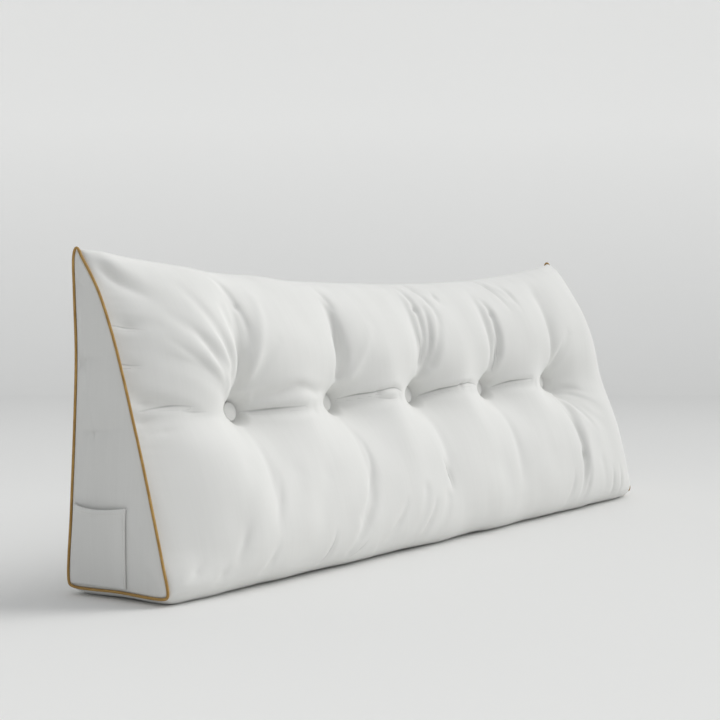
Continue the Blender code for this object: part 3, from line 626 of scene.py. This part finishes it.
def cap_faces(edge, first, rings, turn):
    """Faces from a ring of vertices over rings more, to one middle vertex."""
    count = len(edge)
    faces = []
    for ring in range(rings):
        inner = [first + ring * count + j for j in range(count)]
        for j in range(count):
            k = (j + 1) % count
            face = (edge[j], edge[k], inner[k], inner[j])
            faces.append(face[::-1] if turn else face)
        edge = inner
    tip = first + rings * count
    for j in range(count):
        face = (edge[j], edge[(j + 1) % count], tip)
        faces.append(face[::-1] if turn else face)
    return faces


def make_body():
    """The wrapped cloth with the filling's two ends, closed all round."""
    columns = column_places()
    grid, line_off, line_strength = wedge_grid(columns)
    across, around = grid.shape[:2]
    points = [grid.reshape(-1, 3)]
    faces, i, j = grid_faces(across, around)
    plain = wedge_form(columns)[:, :, 0]
    uvs = np.stack([
        np.stack([plain[i, j], HEIGHT[j]], axis=-1),
        np.stack([plain[i + 1, j], HEIGHT[j]], axis=-1),
        np.stack([plain[i + 1, (j + 1) % around], HEIGHT[j + 1]], axis=-1),
        np.stack([plain[i, (j + 1) % around], HEIGHT[j + 1]], axis=-1),
    ], axis=1).reshape(-1, 2)
    flats = []
    total = across * around
    for side, column in ((-1, 0), (1, across - 1)):
        edge = [column * around + n for n in range(around)]
        rings = cap_points(side, SEAM, (1.0, 0.5), FILLING_CROWN)
        middle = np.array([[side * (LENGTH / 2 - end_lean(END_CENTRE[1]) + FILLING_CROWN),
                            *END_CENTRE]])
        points += rings + [middle]
        caps = cap_faces(edge, total, len(rings), side > 0)
        faces += caps
        total += len(rings) * around + 1
        flats += [n for face in caps for n in face]
    points = np.vstack(points)
    uvs = np.vstack([uvs, points[flats][:, 1:]])
    made = add_mesh("cushion_cloth", points + SHIFT, faces, uvs)
    for name, values in (("crease_off", line_off), ("crease_strength", line_strength)):
        layer = made.data.attributes.new(name, "FLOAT", "POINT")
        layer.data.foreach_set("value", np.resize(values, len(points)).astype(np.float32))
    return made


def panel_surface(side, flat, share, shift):
    """X of an end panel's face at y, z points, with its crown and its folds."""
    edge_off = (1 - share) * np.hypot(*(flat - np.array(END_CENTRE)).T) / np.maximum(share, 0.05)
    free = ease(edge_off, 0.0, PANEL_HELD)
    hollow = np.zeros(len(flat))
    if side < 0:
        for start, middle, end, width, deep, *shares in PANEL_FOLDS:
            hollow += deep * crease_shape(flat[:, 0], flat[:, 1], start, middle, end,
                                          width, *shares)[0]
    crown = END_CROWN * (1 - share ** 2)
    return side * (LENGTH / 2 - end_lean(flat[:, 1]) + crown - hollow * free + shift)


def panel_share(flat):
    """How far from an end's middle to its outline each y, z point lies, 0 to 1."""
    centre = np.array(END_CENTRE)
    spokes = SEAM - centre
    angles = np.arctan2(spokes[:, 1], spokes[:, 0])
    order = np.argsort(angles)
    limit = np.interp(np.arctan2(*(flat - centre).T[::-1]), angles[order],
                      np.hypot(*spokes.T)[order], period=2 * math.pi)
    return np.minimum(np.hypot(*(flat - centre).T) / limit, 1.0)


def make_end_panel(name, side):
    """One sheet, cut to the wedge's outline, with both faces and its cut edge."""
    centre = np.array(END_CENTRE)
    cut_edge = SEAM - outline_outward(SEAM) * PANEL_INSET
    around = len(SEAM)
    shares = 1 - np.linspace(0.0, 1.0, PANEL_RINGS + 1)[:-1] ** 1.15
    points = []
    faces = []
    for shift, flip in ((SEAM_GAP, True), (SEAM_GAP + PANEL_THICK, False)):
        first = sum(len(ring) for ring in points)
        for share in shares:
            flat = centre + (cut_edge - centre) * share
            x = panel_surface(side, flat, np.full(around, share), shift)
            points.append(np.column_stack([x, flat]))
        tip = panel_surface(side, centre[None, :], np.zeros(1), shift)
        points.append(np.array([[tip[0], *centre]]))
        edge = [first + j for j in range(around)]
        faces += cap_faces(edge, first + around, PANEL_RINGS - 1, (side > 0) != flip)
    inner = 0
    outer = PANEL_RINGS * around + 1
    for j in range(around):
        k = (j + 1) % around
        face = (inner + j, inner + k, outer + k, outer + j)
        faces.append(face[::-1] if side > 0 else face)
    points = np.vstack(points)
    corners = [n for face in faces for n in face]
    return add_mesh(name, points + SHIFT, faces, points[corners][:, 1:])


def make_piping(name, side):
    """A closed ring of cord in a bias-cut cover, sewn into the end seam."""
    path, out, offset = piping_path()
    reach = LENGTH / 2 - end_lean(path[:, 1]) + offset
    centres = np.column_stack([side * reach, path])
    count = len(centres)
    away = np.column_stack([np.zeros(count), out])
    turns = 2 * math.pi * np.arange(PIPING_SIDES) / PIPING_SIDES
    ring = (np.cos(turns)[None, :, None] * away[:, None, :]
            + np.sin(turns)[None, :, None] * np.array([1.0, 0.0, 0.0]))
    points = centres[:, None, :] + PIPING_RADIUS * ring
    steps = np.linalg.norm(np.diff(np.vstack([centres, centres[:1]]), axis=0), axis=1)
    along = np.concatenate([[0.0], np.cumsum(steps)])
    j, k = np.meshgrid(np.arange(count), np.arange(PIPING_SIDES), indexing="ij")
    next_j, next_k = (j + 1) % count, (k + 1) % PIPING_SIDES
    quads = np.stack([j * PIPING_SIDES + k, j * PIPING_SIDES + next_k,
                      next_j * PIPING_SIDES + next_k, next_j * PIPING_SIDES + k], axis=-1)
    girth = 2 * math.pi * PIPING_RADIUS / PIPING_SIDES
    uvs = np.stack([
        np.stack([along[j], k * girth], axis=-1), np.stack([along[j], (k + 1) * girth], axis=-1),
        np.stack([along[j + 1], (k + 1) * girth], axis=-1),
        np.stack([along[j + 1], k * girth], axis=-1)], axis=2)
    return add_mesh(name, points.reshape(-1, 3) + SHIFT, quads.reshape(-1, 4).tolist(),
                    uvs.reshape(-1, 2))


def make_button(name, place):
    """A covered button with a rolled rim, its cloth gathered at the back."""
    along, up, out = seat_directions()
    turns = 2 * math.pi * np.arange(BUTTON_SIDES) / BUTTON_SIDES
    rings = []
    for radius_share, rise_share in BUTTON_PROFILE:
        gather = 1 - 0.012 * (1 - ease(rise_share, 0.2, 0.8)) * np.cos(14 * turns)
        reach = BUTTON_RADIUS * radius_share * gather
        rings.append(np.column_stack([reach * np.cos(turns), reach * np.sin(turns),
                                      np.full(BUTTON_SIDES, BUTTON_THICK * rise_share)]))
    flat = np.vstack(rings + [[[0, 0, 0]], [[0, 0, BUTTON_THICK]]])
    last = len(BUTTON_PROFILE) - 1
    back, front = len(flat) - 2, len(flat) - 1
    faces = []
    for j in range(BUTTON_SIDES):
        k = (j + 1) % BUTTON_SIDES
        for ring in range(last):
            a, b = ring * BUTTON_SIDES, (ring + 1) * BUTTON_SIDES
            faces.append((a + j, a + k, b + k, b + j))
        faces.append((k, j, back))
        faces.append((last * BUTTON_SIDES + j, last * BUTTON_SIDES + k, front))
    seat = np.array([place, BUTTON_SEAT_Y, BUTTON_HEIGHT]) + out * SEAM_GAP
    points = seat + flat @ np.stack([along, up, out])
    corners = [n for face in faces for n in face]
    return add_mesh(name, points + SHIFT, faces, flat[corners][:, :2])


def pocket_back_y(z):
    """Y of the pocket's back edge, beside the back seam."""
    back = np.vstack([SEAM[0], SEAM[row_index("back_upper"):][::-1]])
    return np.interp(z, back[:, 1], back[:, 0]) - POCKET_MARGIN


def pocket_point(side, up, lift):
    """A point of the pocket at shares of its width and height, lift off its back."""
    arch = np.maximum(np.sin(math.pi * side), 0.0)
    z = POCKET_BOTTOM + (POCKET_TOP - POCKET_BOTTOM) * up - POCKET_SAG * arch * up
    y = POCKET_FRONT_Y + (pocket_back_y(z) - POCKET_FRONT_Y) * side
    flat = np.column_stack([y, z])
    off = POCKET_LIFT + POCKET_GAPE * np.sqrt(arch) * up + lift
    x = panel_surface(-1, flat, panel_share(flat), SEAM_GAP + PANEL_THICK + off)
    return np.column_stack([x, flat])


def make_pocket():
    """A patch with a turned hem and a folded front edge, open at its mouth."""
    side, up = (v.ravel() for v in np.meshgrid(np.linspace(0, 1, POCKET_STEPS + 1),
                                               np.linspace(0, 1, POCKET_ROWS + 1)))
    hem = ease(up, POCKET_HEM_FROM - 0.004, POCKET_HEM_FROM + 0.008)
    stitched = np.exp(-((up - POCKET_HEM_FROM - 0.012) / 0.008) ** 2)
    folded = 1 - ease(side, 0.0, 0.035)
    thick = (POCKET_THICK + HEM_THICK * hem - 0.0005 * stitched + 0.0006 * folded
             - 0.0009 * ease(up, 0.99, 1.0))
    wave = 0.0004 * np.sin(7 * side + 3 * up) * np.sin(5 * up) * (1 - hem)
    points = np.vstack([pocket_point(side, up, 0.0), pocket_point(side, up, thick + wave)])
    wide, tall = POCKET_STEPS + 1, POCKET_ROWS + 1
    outer = wide * tall
    faces = []
    for row in range(POCKET_ROWS):
        for step in range(POCKET_STEPS):
            a, b = row * wide + step, row * wide + step + 1
            faces.append((a, b, b + wide, a + wide))
            faces.append((a + outer, a + outer + wide, b + outer + wide, b + outer))
    rim = list(range(wide))
    rim += [row * wide + POCKET_STEPS for row in range(1, tall)]
    rim += [POCKET_ROWS * wide + step for step in range(POCKET_STEPS - 1, -1, -1)]
    rim += [row * wide for row in range(tall - 2, 0, -1)]
    for a, b in zip(rim, rim[1:] + rim[:1]):
        faces.append((a, a + outer, b + outer, b))
    corners = [n for face in faces for n in face]
    return add_mesh("pocket", points + SHIFT, faces, points[corners][:, 1:])


def stitch_lines():
    """The sewn lines of the pocket: along its hem, and beside its front edge."""
    hem_side = np.linspace(0.02, 0.98, 60)
    hem_up = np.full(60, POCKET_HEM_FROM + 0.012)
    edge_up = np.linspace(0.01, 0.985, 70)
    lift = POCKET_THICK + HEM_THICK * 0.6
    return [
        pocket_point(hem_side, hem_up, lift),
        pocket_point(np.full(70, 0.028), edge_up, POCKET_THICK + 0.0004),
    ]


def stitch_tree():
    """Geometry Nodes: rows of thread stitches, laid along a wire of edges."""
    tree = bpy.data.node_groups.new("thread_stitches", "GeometryNodeTree")
    face = tree.interface
    face.new_socket(name="Geometry", in_out="INPUT", socket_type="NodeSocketGeometry")
    for name in ("Stitch Length", "Gap", "Thread Radius"):
        face.new_socket(name=name, in_out="INPUT", socket_type="NodeSocketFloat")
    face.new_socket(name="Thread", in_out="INPUT", socket_type="NodeSocketMaterial")
    face.new_socket(name="Geometry", in_out="OUTPUT", socket_type="NodeSocketGeometry")
    add, link = tree.nodes.new, tree.links.new
    given, result = add("NodeGroupInput"), add("NodeGroupOutput")
    curve = add("GeometryNodeMeshToCurve")
    pitch = add("ShaderNodeMath")
    pitch.operation = "ADD"
    spots = add("GeometryNodeCurveToPoints")
    spots.mode = "LENGTH"
    bead = add("GeometryNodeMeshUVSphere")
    bead.inputs["Segments"].default_value = 6
    bead.inputs["Rings"].default_value = 4
    bead.inputs["Radius"].default_value = 1.0
    half = add("ShaderNodeMath")
    half.operation = "MULTIPLY"
    half.inputs[1].default_value = 0.5
    size = add("ShaderNodeCombineXYZ")
    place = add("GeometryNodeInstanceOnPoints")
    real = add("GeometryNodeRealizeInstances")
    finish = add("GeometryNodeSetMaterial")
    link(given.outputs["Geometry"], curve.inputs["Mesh"])
    link(curve.outputs["Curve"], spots.inputs["Curve"])
    link(given.outputs["Stitch Length"], pitch.inputs[0])
    link(given.outputs["Gap"], pitch.inputs[1])
    link(pitch.outputs[0], spots.inputs["Length"])
    link(given.outputs["Stitch Length"], half.inputs[0])
    link(given.outputs["Thread Radius"], size.inputs["X"])
    link(given.outputs["Thread Radius"], size.inputs["Y"])
    link(half.outputs[0], size.inputs["Z"])
    link(spots.outputs["Points"], place.inputs["Points"])
    link(spots.outputs["Rotation"], place.inputs["Rotation"])
    link(bead.outputs["Mesh"], place.inputs["Instance"])
    link(size.outputs[0], place.inputs["Scale"])
    link(place.outputs["Instances"], real.inputs["Geometry"])
    link(real.outputs["Geometry"], finish.inputs["Geometry"])
    link(given.outputs["Thread"], finish.inputs["Material"])
    link(finish.outputs["Geometry"], result.inputs["Geometry"])
    return tree


def make_stitches(name, lines, thread):
    """A mesh of stitches along lines of points, made by the stitch tree."""
    points = np.vstack(lines) + SHIFT
    edges = []
    first = 0
    for line in lines:
        edges += [(first + n, first + n + 1) for n in range(len(line) - 1)]
        first += len(line)
    wire = bpy.data.meshes.new(name + "_wire")
    wire.from_pydata(points.tolist(), edges, [])
    guide = bpy.data.objects.new(name + "_guide", wire)
    bpy.context.scene.collection.objects.link(guide)
    tree = stitch_tree()
    nodes = guide.modifiers.new("stitches", "NODES")
    nodes.node_group = tree
    values = {"Stitch Length": STITCH_LENGTH, "Gap": STITCH_GAP,
              "Thread Radius": THREAD_RADIUS, "Thread": thread}
    for socket in tree.interface.items_tree:
        if socket.in_out == "INPUT" and socket.name in values:
            nodes[socket.identifier] = values[socket.name]
    graph = bpy.context.evaluated_depsgraph_get()
    mesh = bpy.data.meshes.new_from_object(guide.evaluated_get(graph))
    mesh.name = name
    mesh.shade_smooth()
    bpy.data.objects.remove(guide)
    made = bpy.data.objects.new(name, mesh)
    bpy.context.scene.collection.objects.link(made)
    return made


def new_group(name, inputs, outputs):
    """A shader node group with float or vector inputs and its outputs."""
    group = bpy.data.node_groups.new(name, "ShaderNodeTree")
    for label, kind, value in inputs:
        socket = group.interface.new_socket(name=label, in_out="INPUT", socket_type=kind)
        if value is not None:
            socket.default_value = value
    for label, kind in outputs:
        group.interface.new_socket(name=label, in_out="OUTPUT", socket_type=kind)
    return group, group.nodes.new("NodeGroupInput"), group.nodes.new("NodeGroupOutput")


def math_node(tree, operation, *values, clamp=False):
    """A Math node; each value is a number or a socket to link."""
    made = tree.nodes.new("ShaderNodeMath")
    made.operation = operation
    made.use_clamp = clamp
    for n, value in enumerate(values):
        if isinstance(value, (int, float)):
            made.inputs[n].default_value = value
        else:
            tree.links.new(value, made.inputs[n])
    return made.outputs[0]


def noise_node(tree, vector, stretch, detail, roughness=0.5):
    """2D noise on a metre-sized vector, with stretch lumps per metre each way."""
    scaled = tree.nodes.new("ShaderNodeMapping")
    scaled.inputs["Scale"].default_value = (*stretch, 1.0)
    tree.links.new(vector, scaled.inputs["Vector"])
    noise = tree.nodes.new("ShaderNodeTexNoise")
    noise.noise_dimensions = "2D"
    noise.inputs["Scale"].default_value = 1.0
    noise.inputs["Detail"].default_value = detail
    noise.inputs["Roughness"].default_value = roughness
    tree.links.new(scaled.outputs[0], noise.inputs["Vector"])
    return noise.outputs["Fac"]


def pile_group():
    """Short brushed pile: upright nap streaks, soft cloudy shading and the fine
    grain of the pile, as a shade about 0.5 and a height."""
    group, given, result = new_group(
        "brushed_pile",
        [("Vector", "NodeSocketVector", None), ("Streaks", "NodeSocketFloat", 0.5),
         ("Clouds", "NodeSocketFloat", 0.5), ("Grain", "NodeSocketFloat", 0.2)],
        [("Shade", "NodeSocketFloat"), ("Height", "NodeSocketFloat")])
    vector = given.outputs["Vector"]
    streak = noise_node(group, vector, (240.0, 11.0), 3.0, 0.6)
    broad = noise_node(group, vector, (46.0, 5.0), 2.0)
    cloud = noise_node(group, vector, (9.0, 7.0), 3.0)
    grain = noise_node(group, vector, (1500.0, 1100.0), 2.0, 0.7)
    streaks = math_node(group, "MULTIPLY_ADD", broad, 0.5, math_node(group, "MULTIPLY", streak, 0.5))
    shade = 0.5
    for source, name in ((streaks, "Streaks"), (cloud, "Clouds"), (grain, "Grain")):
        centred = math_node(group, "SUBTRACT", source, 0.5)
        shade = math_node(group, "MULTIPLY_ADD", centred, given.outputs[name], shade)
    group.links.new(shade, result.inputs["Shade"])
    height = math_node(group, "MULTIPLY_ADD", streak, 0.6, math_node(group, "MULTIPLY", grain, 0.4))
    group.links.new(height, result.inputs["Height"])
    return group


def bias_group():
    """The slanting ribs of a satin bias cover and random patches of painted highlight and painted
    shade on it, on a cord's UV.
    """
    group, given, result = new_group(
        "satin_bias",
        [("Vector", "NodeSocketVector", None), ("Ribs", "NodeSocketFloat", 1400.0)],
        [("Shade", "NodeSocketFloat"), ("Height", "NodeSocketFloat")])
    parts = group.nodes.new("ShaderNodeSeparateXYZ")
    group.links.new(given.outputs["Vector"], parts.inputs[0])
    slant = math_node(group, "ADD", parts.outputs["X"], parts.outputs["Y"])
    turn = math_node(group, "MULTIPLY", slant, math_node(
        group, "MULTIPLY", given.outputs["Ribs"], 2 * math.pi))
    rib = math_node(group, "MULTIPLY_ADD", math_node(group, "SINE", turn), 0.5, 0.5)
    painted_highlight_and_shade = noise_node(group, given.outputs["Vector"], (55.0, 300.0), 3.0)
    gather = noise_node(group, given.outputs["Vector"], (420.0, 90.0), 2.0)
    shade = math_node(group, "MULTIPLY_ADD", rib, 0.15, math_node(group, "MULTIPLY", painted_highlight_and_shade, 0.85))
    group.links.new(shade, result.inputs["Shade"])
    height = math_node(group, "MULTIPLY_ADD", rib, 0.3, math_node(group, "MULTIPLY", gather, 0.7))
    group.links.new(height, result.inputs["Height"])
    return group


def uv_of(tree):
    uv = tree.nodes.new("ShaderNodeUVMap")
    uv.uv_map = "cloth"
    return uv.outputs["UV"]


def mixed(tree, factor, low, high):
    """Colour from low to high by a factor; low or high may be a socket."""
    mix = tree.nodes.new("ShaderNodeMix")
    mix.data_type = "RGBA"
    tree.links.new(factor, mix.inputs["Factor"])
    for name, value in (("A", low), ("B", high)):
        socket = next(s for s in mix.inputs if s.name == name and s.type == "RGBA")
        if isinstance(value, tuple):
            socket.default_value = (*value, 1.0)
        else:
            tree.links.new(value, socket)
    return next(s for s in mix.outputs if s.type == "RGBA")


def new_material(name, roughness, sheen=0.0, sheen_roughness=0.5):
    made = bpy.data.materials.new(name)
    made.use_nodes = True
    shader = made.node_tree.nodes["Principled BSDF"]
    shader.inputs["Roughness"].default_value = roughness
    shader.inputs["Sheen Weight"].default_value = sheen
    shader.inputs["Sheen Roughness"].default_value = sheen_roughness
    shader.inputs["Specular IOR Level"].default_value = 0.25
    return made, made.node_tree, shader


def bump(tree, shader, height, distance, strength):
    node = tree.nodes.new("ShaderNodeBump")
    node.inputs["Distance"].default_value = distance
    node.inputs["Strength"].default_value = strength
    tree.links.new(height, node.inputs["Height"])
    tree.links.new(node.outputs["Normal"], shader.inputs["Normal"])


def pile_material(name, light, dark, creased=False):
    """Off-white brushed cloth. creased adds the fine lines of sharp creases: a groove in the bump,
    and painted shade that darkens the colour along each line.
    """
    made, tree, shader = new_material(name, 0.88, CLOTH_SHEEN, 0.45)
    pile = tree.nodes.new("ShaderNodeGroup")
    pile.node_tree = PILE
    tree.links.new(uv_of(tree), pile.inputs["Vector"])
    colour = mixed(tree, pile.outputs["Shade"], dark, light)
    height = math_node(tree, "MULTIPLY", pile.outputs["Height"], PILE_HEIGHT)
    if creased:
        off, strength = (tree.nodes.new("ShaderNodeAttribute") for _ in range(2))
        off.attribute_name, strength.attribute_name = "crease_off", "crease_strength"
        share = math_node(tree, "DIVIDE", off.outputs["Fac"], CREASE_LINE_HALF)
        square = math_node(tree, "MULTIPLY", share, share)
        line = math_node(tree, "EXPONENT", math_node(tree, "MULTIPLY", square, -1.0))
        line = math_node(tree, "MULTIPLY", line, strength.outputs["Fac"], clamp=True)
        # Painted shade: the colour darkens towards a dark grey along each crease's fine line.
        colour = mixed(tree, math_node(tree, "MULTIPLY", line, CREASE_SHADE), colour,
                       PAINTED_CREASE_SHADE_COLOUR)
        height = math_node(tree, "MULTIPLY_ADD", line, -CREASE_LINE_DEPTH, height)
    tree.links.new(colour, shader.inputs["Base Color"])
    bump(tree, shader, height, 1.0, 0.6)
    return made


def piping_material():
    made, tree, shader = new_material("piping_satin", 0.42, 0.25, 0.3)
    bias = tree.nodes.new("ShaderNodeGroup")
    bias.node_tree = BIAS
    tree.links.new(uv_of(tree), bias.inputs["Vector"])
    # The cord's real gold colour, spread from a painted shade tone to a painted highlight tone by
    # its ribs and random patches.
    tree.links.new(mixed(tree, bias.outputs["Shade"], (0.25, 0.13, 0.035), (0.66, 0.42, 0.14)),
                   shader.inputs["Base Color"])
    bump(tree, shader, math_node(tree, "MULTIPLY", bias.outputs["Height"], 0.00012), 1.0, 0.8)
    return made


def thread_material():
    made, tree, shader = new_material("sewing_thread", 0.6, 0.2, 0.4)
    place = tree.nodes.new("ShaderNodeTexCoord")
    tint = noise_node(tree, place.outputs["Object"], (900.0, 900.0), 2.0)
    tree.links.new(mixed(tree, tint, (0.62, 0.61, 0.58), (0.80, 0.79, 0.76)),
                   shader.inputs["Base Color"])
    return made


CLOTH_SHEEN = 0.30
PILE_HEIGHT = 0.00010   # metres from the bottom of the pile's grain to its top
CREASE_LINE_HALF = 0.0012       # half width of a crease's fine line
CREASE_LINE_DEPTH = 0.0012
# How far a crease's fine line darkens the colour towards its dark grey: painted shade.
CREASE_SHADE = 0.75
PAINTED_CREASE_SHADE_COLOUR = (0.30, 0.30, 0.29)
PILE = pile_group()
BIAS = bias_group()
cloth = pile_material("brushed_cloth", (0.86, 0.86, 0.84), (0.76, 0.76, 0.74), creased=True)
# The end panels and the pocket on them wear the wrap's cloth painted a little darker: painted shade
# for the ends, which face away from the light.
panel_cloth = pile_material("panel_cloth", (0.84, 0.84, 0.82), (0.74, 0.74, 0.72))
button_cloth = pile_material("button_cloth", (0.85, 0.85, 0.83), (0.75, 0.75, 0.73))
satin = piping_material()
thread = thread_material()


def dress(piece, finish, slot, *nodes):
    """Gives a finished piece its material and its body, and hides the parts of the solid that it
    stands in for.
    """
    if finish.name not in piece.data.materials:
        piece.data.materials.append(finish)
    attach(piece, "root")
    if nodes:
        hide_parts(*nodes)
    return piece


body = dress(make_body(), cloth, "brushed_cloth", "cushion_body")

for name, side in (("left", -1), ("right", 1)):
    panel = make_end_panel("end_cloth_" + name, side)
    dress(panel, panel_cloth, "panel_cloth", "end_panel_" + name)
    dress(make_piping("piping_cover_" + name, side), satin, "golden_piping", "piping_" + name)
for number, place in enumerate(button_places(), start=1):
    button = make_button(f"covered_button_{number}", place)
    dress(button, button_cloth, "button_cloth", f"button_{number}")

pocket = dress(make_pocket(), panel_cloth, "panel_cloth", "side_pocket")
stitches = dress(make_stitches("pocket_stitches", stitch_lines(), thread), thread, "panel_cloth")


# Stage: pale floor that curves up into a backdrop, camera and light
FLOOR_NEAR = -8.0
FLOOR_FAR = 4.0
CURVE_RADIUS = 3.0
WALL_TOP = 9.0
STAGE_HALF_WIDTH = 14.0
SUN_FROM = (0.80, -0.29, 0.53)
SUN_STRENGTH = 3.2
SUN_ANGLE = math.radians(55)
SKY_HIGH = 0.70         # strength of the sky overhead, at the horizon and below
SKY_LEVEL = 0.26
WALL_GLOW = 0.34
GLOW_FULL_AT = 1.4      # height where the backdrop's own light is full


def make_stage():
    """A pale floor that curves up into a plain backdrop."""
    profile = [(FLOOR_NEAR, 0.0), (FLOOR_FAR, 0.0)]
    profile += [(FLOOR_FAR + CURVE_RADIUS * math.sin(a), CURVE_RADIUS * (1 - math.cos(a)))
                for a in np.linspace(0.1, math.pi / 2, 16)]
    profile += [(FLOOR_FAR + CURVE_RADIUS, WALL_TOP)]
    ahead = np.array([math.cos(CAMERA_YAW), math.sin(CAMERA_YAW), 0.0])
    aside = np.array([-math.sin(CAMERA_YAW), math.cos(CAMERA_YAW), 0.0])
    points = []
    for reach, rise in profile:
        for wide in (-STAGE_HALF_WIDTH, STAGE_HALF_WIDTH):
            points.append(ahead * reach + aside * wide + np.array([0, 0, rise]))
    faces = [(2 * n + 1, 2 * n + 3, 2 * n + 2, 2 * n) for n in range(len(profile) - 1)]
    made = add_mesh("floor", points, faces)
    finish, tree, shader = new_material("floor_paint", 0.9)
    place = tree.nodes.new("ShaderNodeTexCoord")
    parts = tree.nodes.new("ShaderNodeSeparateXYZ")
    tree.links.new(place.outputs["Object"], parts.inputs[0])
    share = math_node(tree, "DIVIDE", parts.outputs["Z"], GLOW_FULL_AT, clamp=True)
    rise = math_node(tree, "POWER", share, 0.5)
    glow = mixed(tree, rise, (0.0, 0.0, 0.0), (1.0, 1.0, 0.985))
    tree.links.new(glow, shader.inputs["Emission Color"])
    shader.inputs["Emission Strength"].default_value = WALL_GLOW
    mottle = noise_node(tree, place.outputs["Object"], (0.5, 0.5), 1.0)
    tree.links.new(mixed(tree, mottle, (0.79, 0.79, 0.78), (0.81, 0.81, 0.80)),
                   shader.inputs["Base Color"])
    made.data.materials.append(finish)


def make_camera():
    data = bpy.data.cameras.new("camera")
    data.lens = CAMERA_LENS
    data.sensor_width = 36.0
    made = bpy.data.objects.new("camera", data)
    bpy.context.scene.collection.objects.link(made)
    made.location = Vector(np.array(CAMERA_AT) + SHIFT)
    ahead = Vector((math.cos(CAMERA_PITCH) * math.cos(CAMERA_YAW),
                    math.cos(CAMERA_PITCH) * math.sin(CAMERA_YAW), math.sin(CAMERA_PITCH)))
    made.rotation_euler = ahead.to_track_quat("-Z", "Y").to_euler()
    bpy.context.scene.camera = made


def make_light():
    """A broad soft light from the right, over a pale sky from all round."""
    lamp = bpy.data.lights.new("window_light", "SUN")
    lamp.energy = SUN_STRENGTH
    lamp.angle = SUN_ANGLE
    lamp.color = (1.0, 0.995, 0.98)
    made = bpy.data.objects.new("window_light", lamp)
    bpy.context.scene.collection.objects.link(made)
    made.rotation_euler = (-Vector(SUN_FROM)).to_track_quat("-Z", "Y").to_euler()
    world = bpy.data.worlds.new("pale_room")
    world.use_nodes = True
    tree = world.node_tree
    sky = tree.nodes["Background"]
    sky.inputs["Color"].default_value = (0.97, 0.985, 1.0, 1)
    way = tree.nodes.new("ShaderNodeTexCoord")
    parts = tree.nodes.new("ShaderNodeSeparateXYZ")
    tree.links.new(way.outputs["Generated"], parts.inputs[0])
    rise = tree.nodes.new("ShaderNodeMapRange")
    rise.inputs["To Min"].default_value = SKY_LEVEL
    rise.inputs["To Max"].default_value = SKY_HIGH
    tree.links.new(parts.outputs["Z"], rise.inputs["Value"])
    tree.links.new(rise.outputs[0], sky.inputs["Strength"])
    bpy.context.scene.world = world
    bpy.context.scene.view_settings.view_transform = "Standard"


make_stage()
make_camera()
make_light()
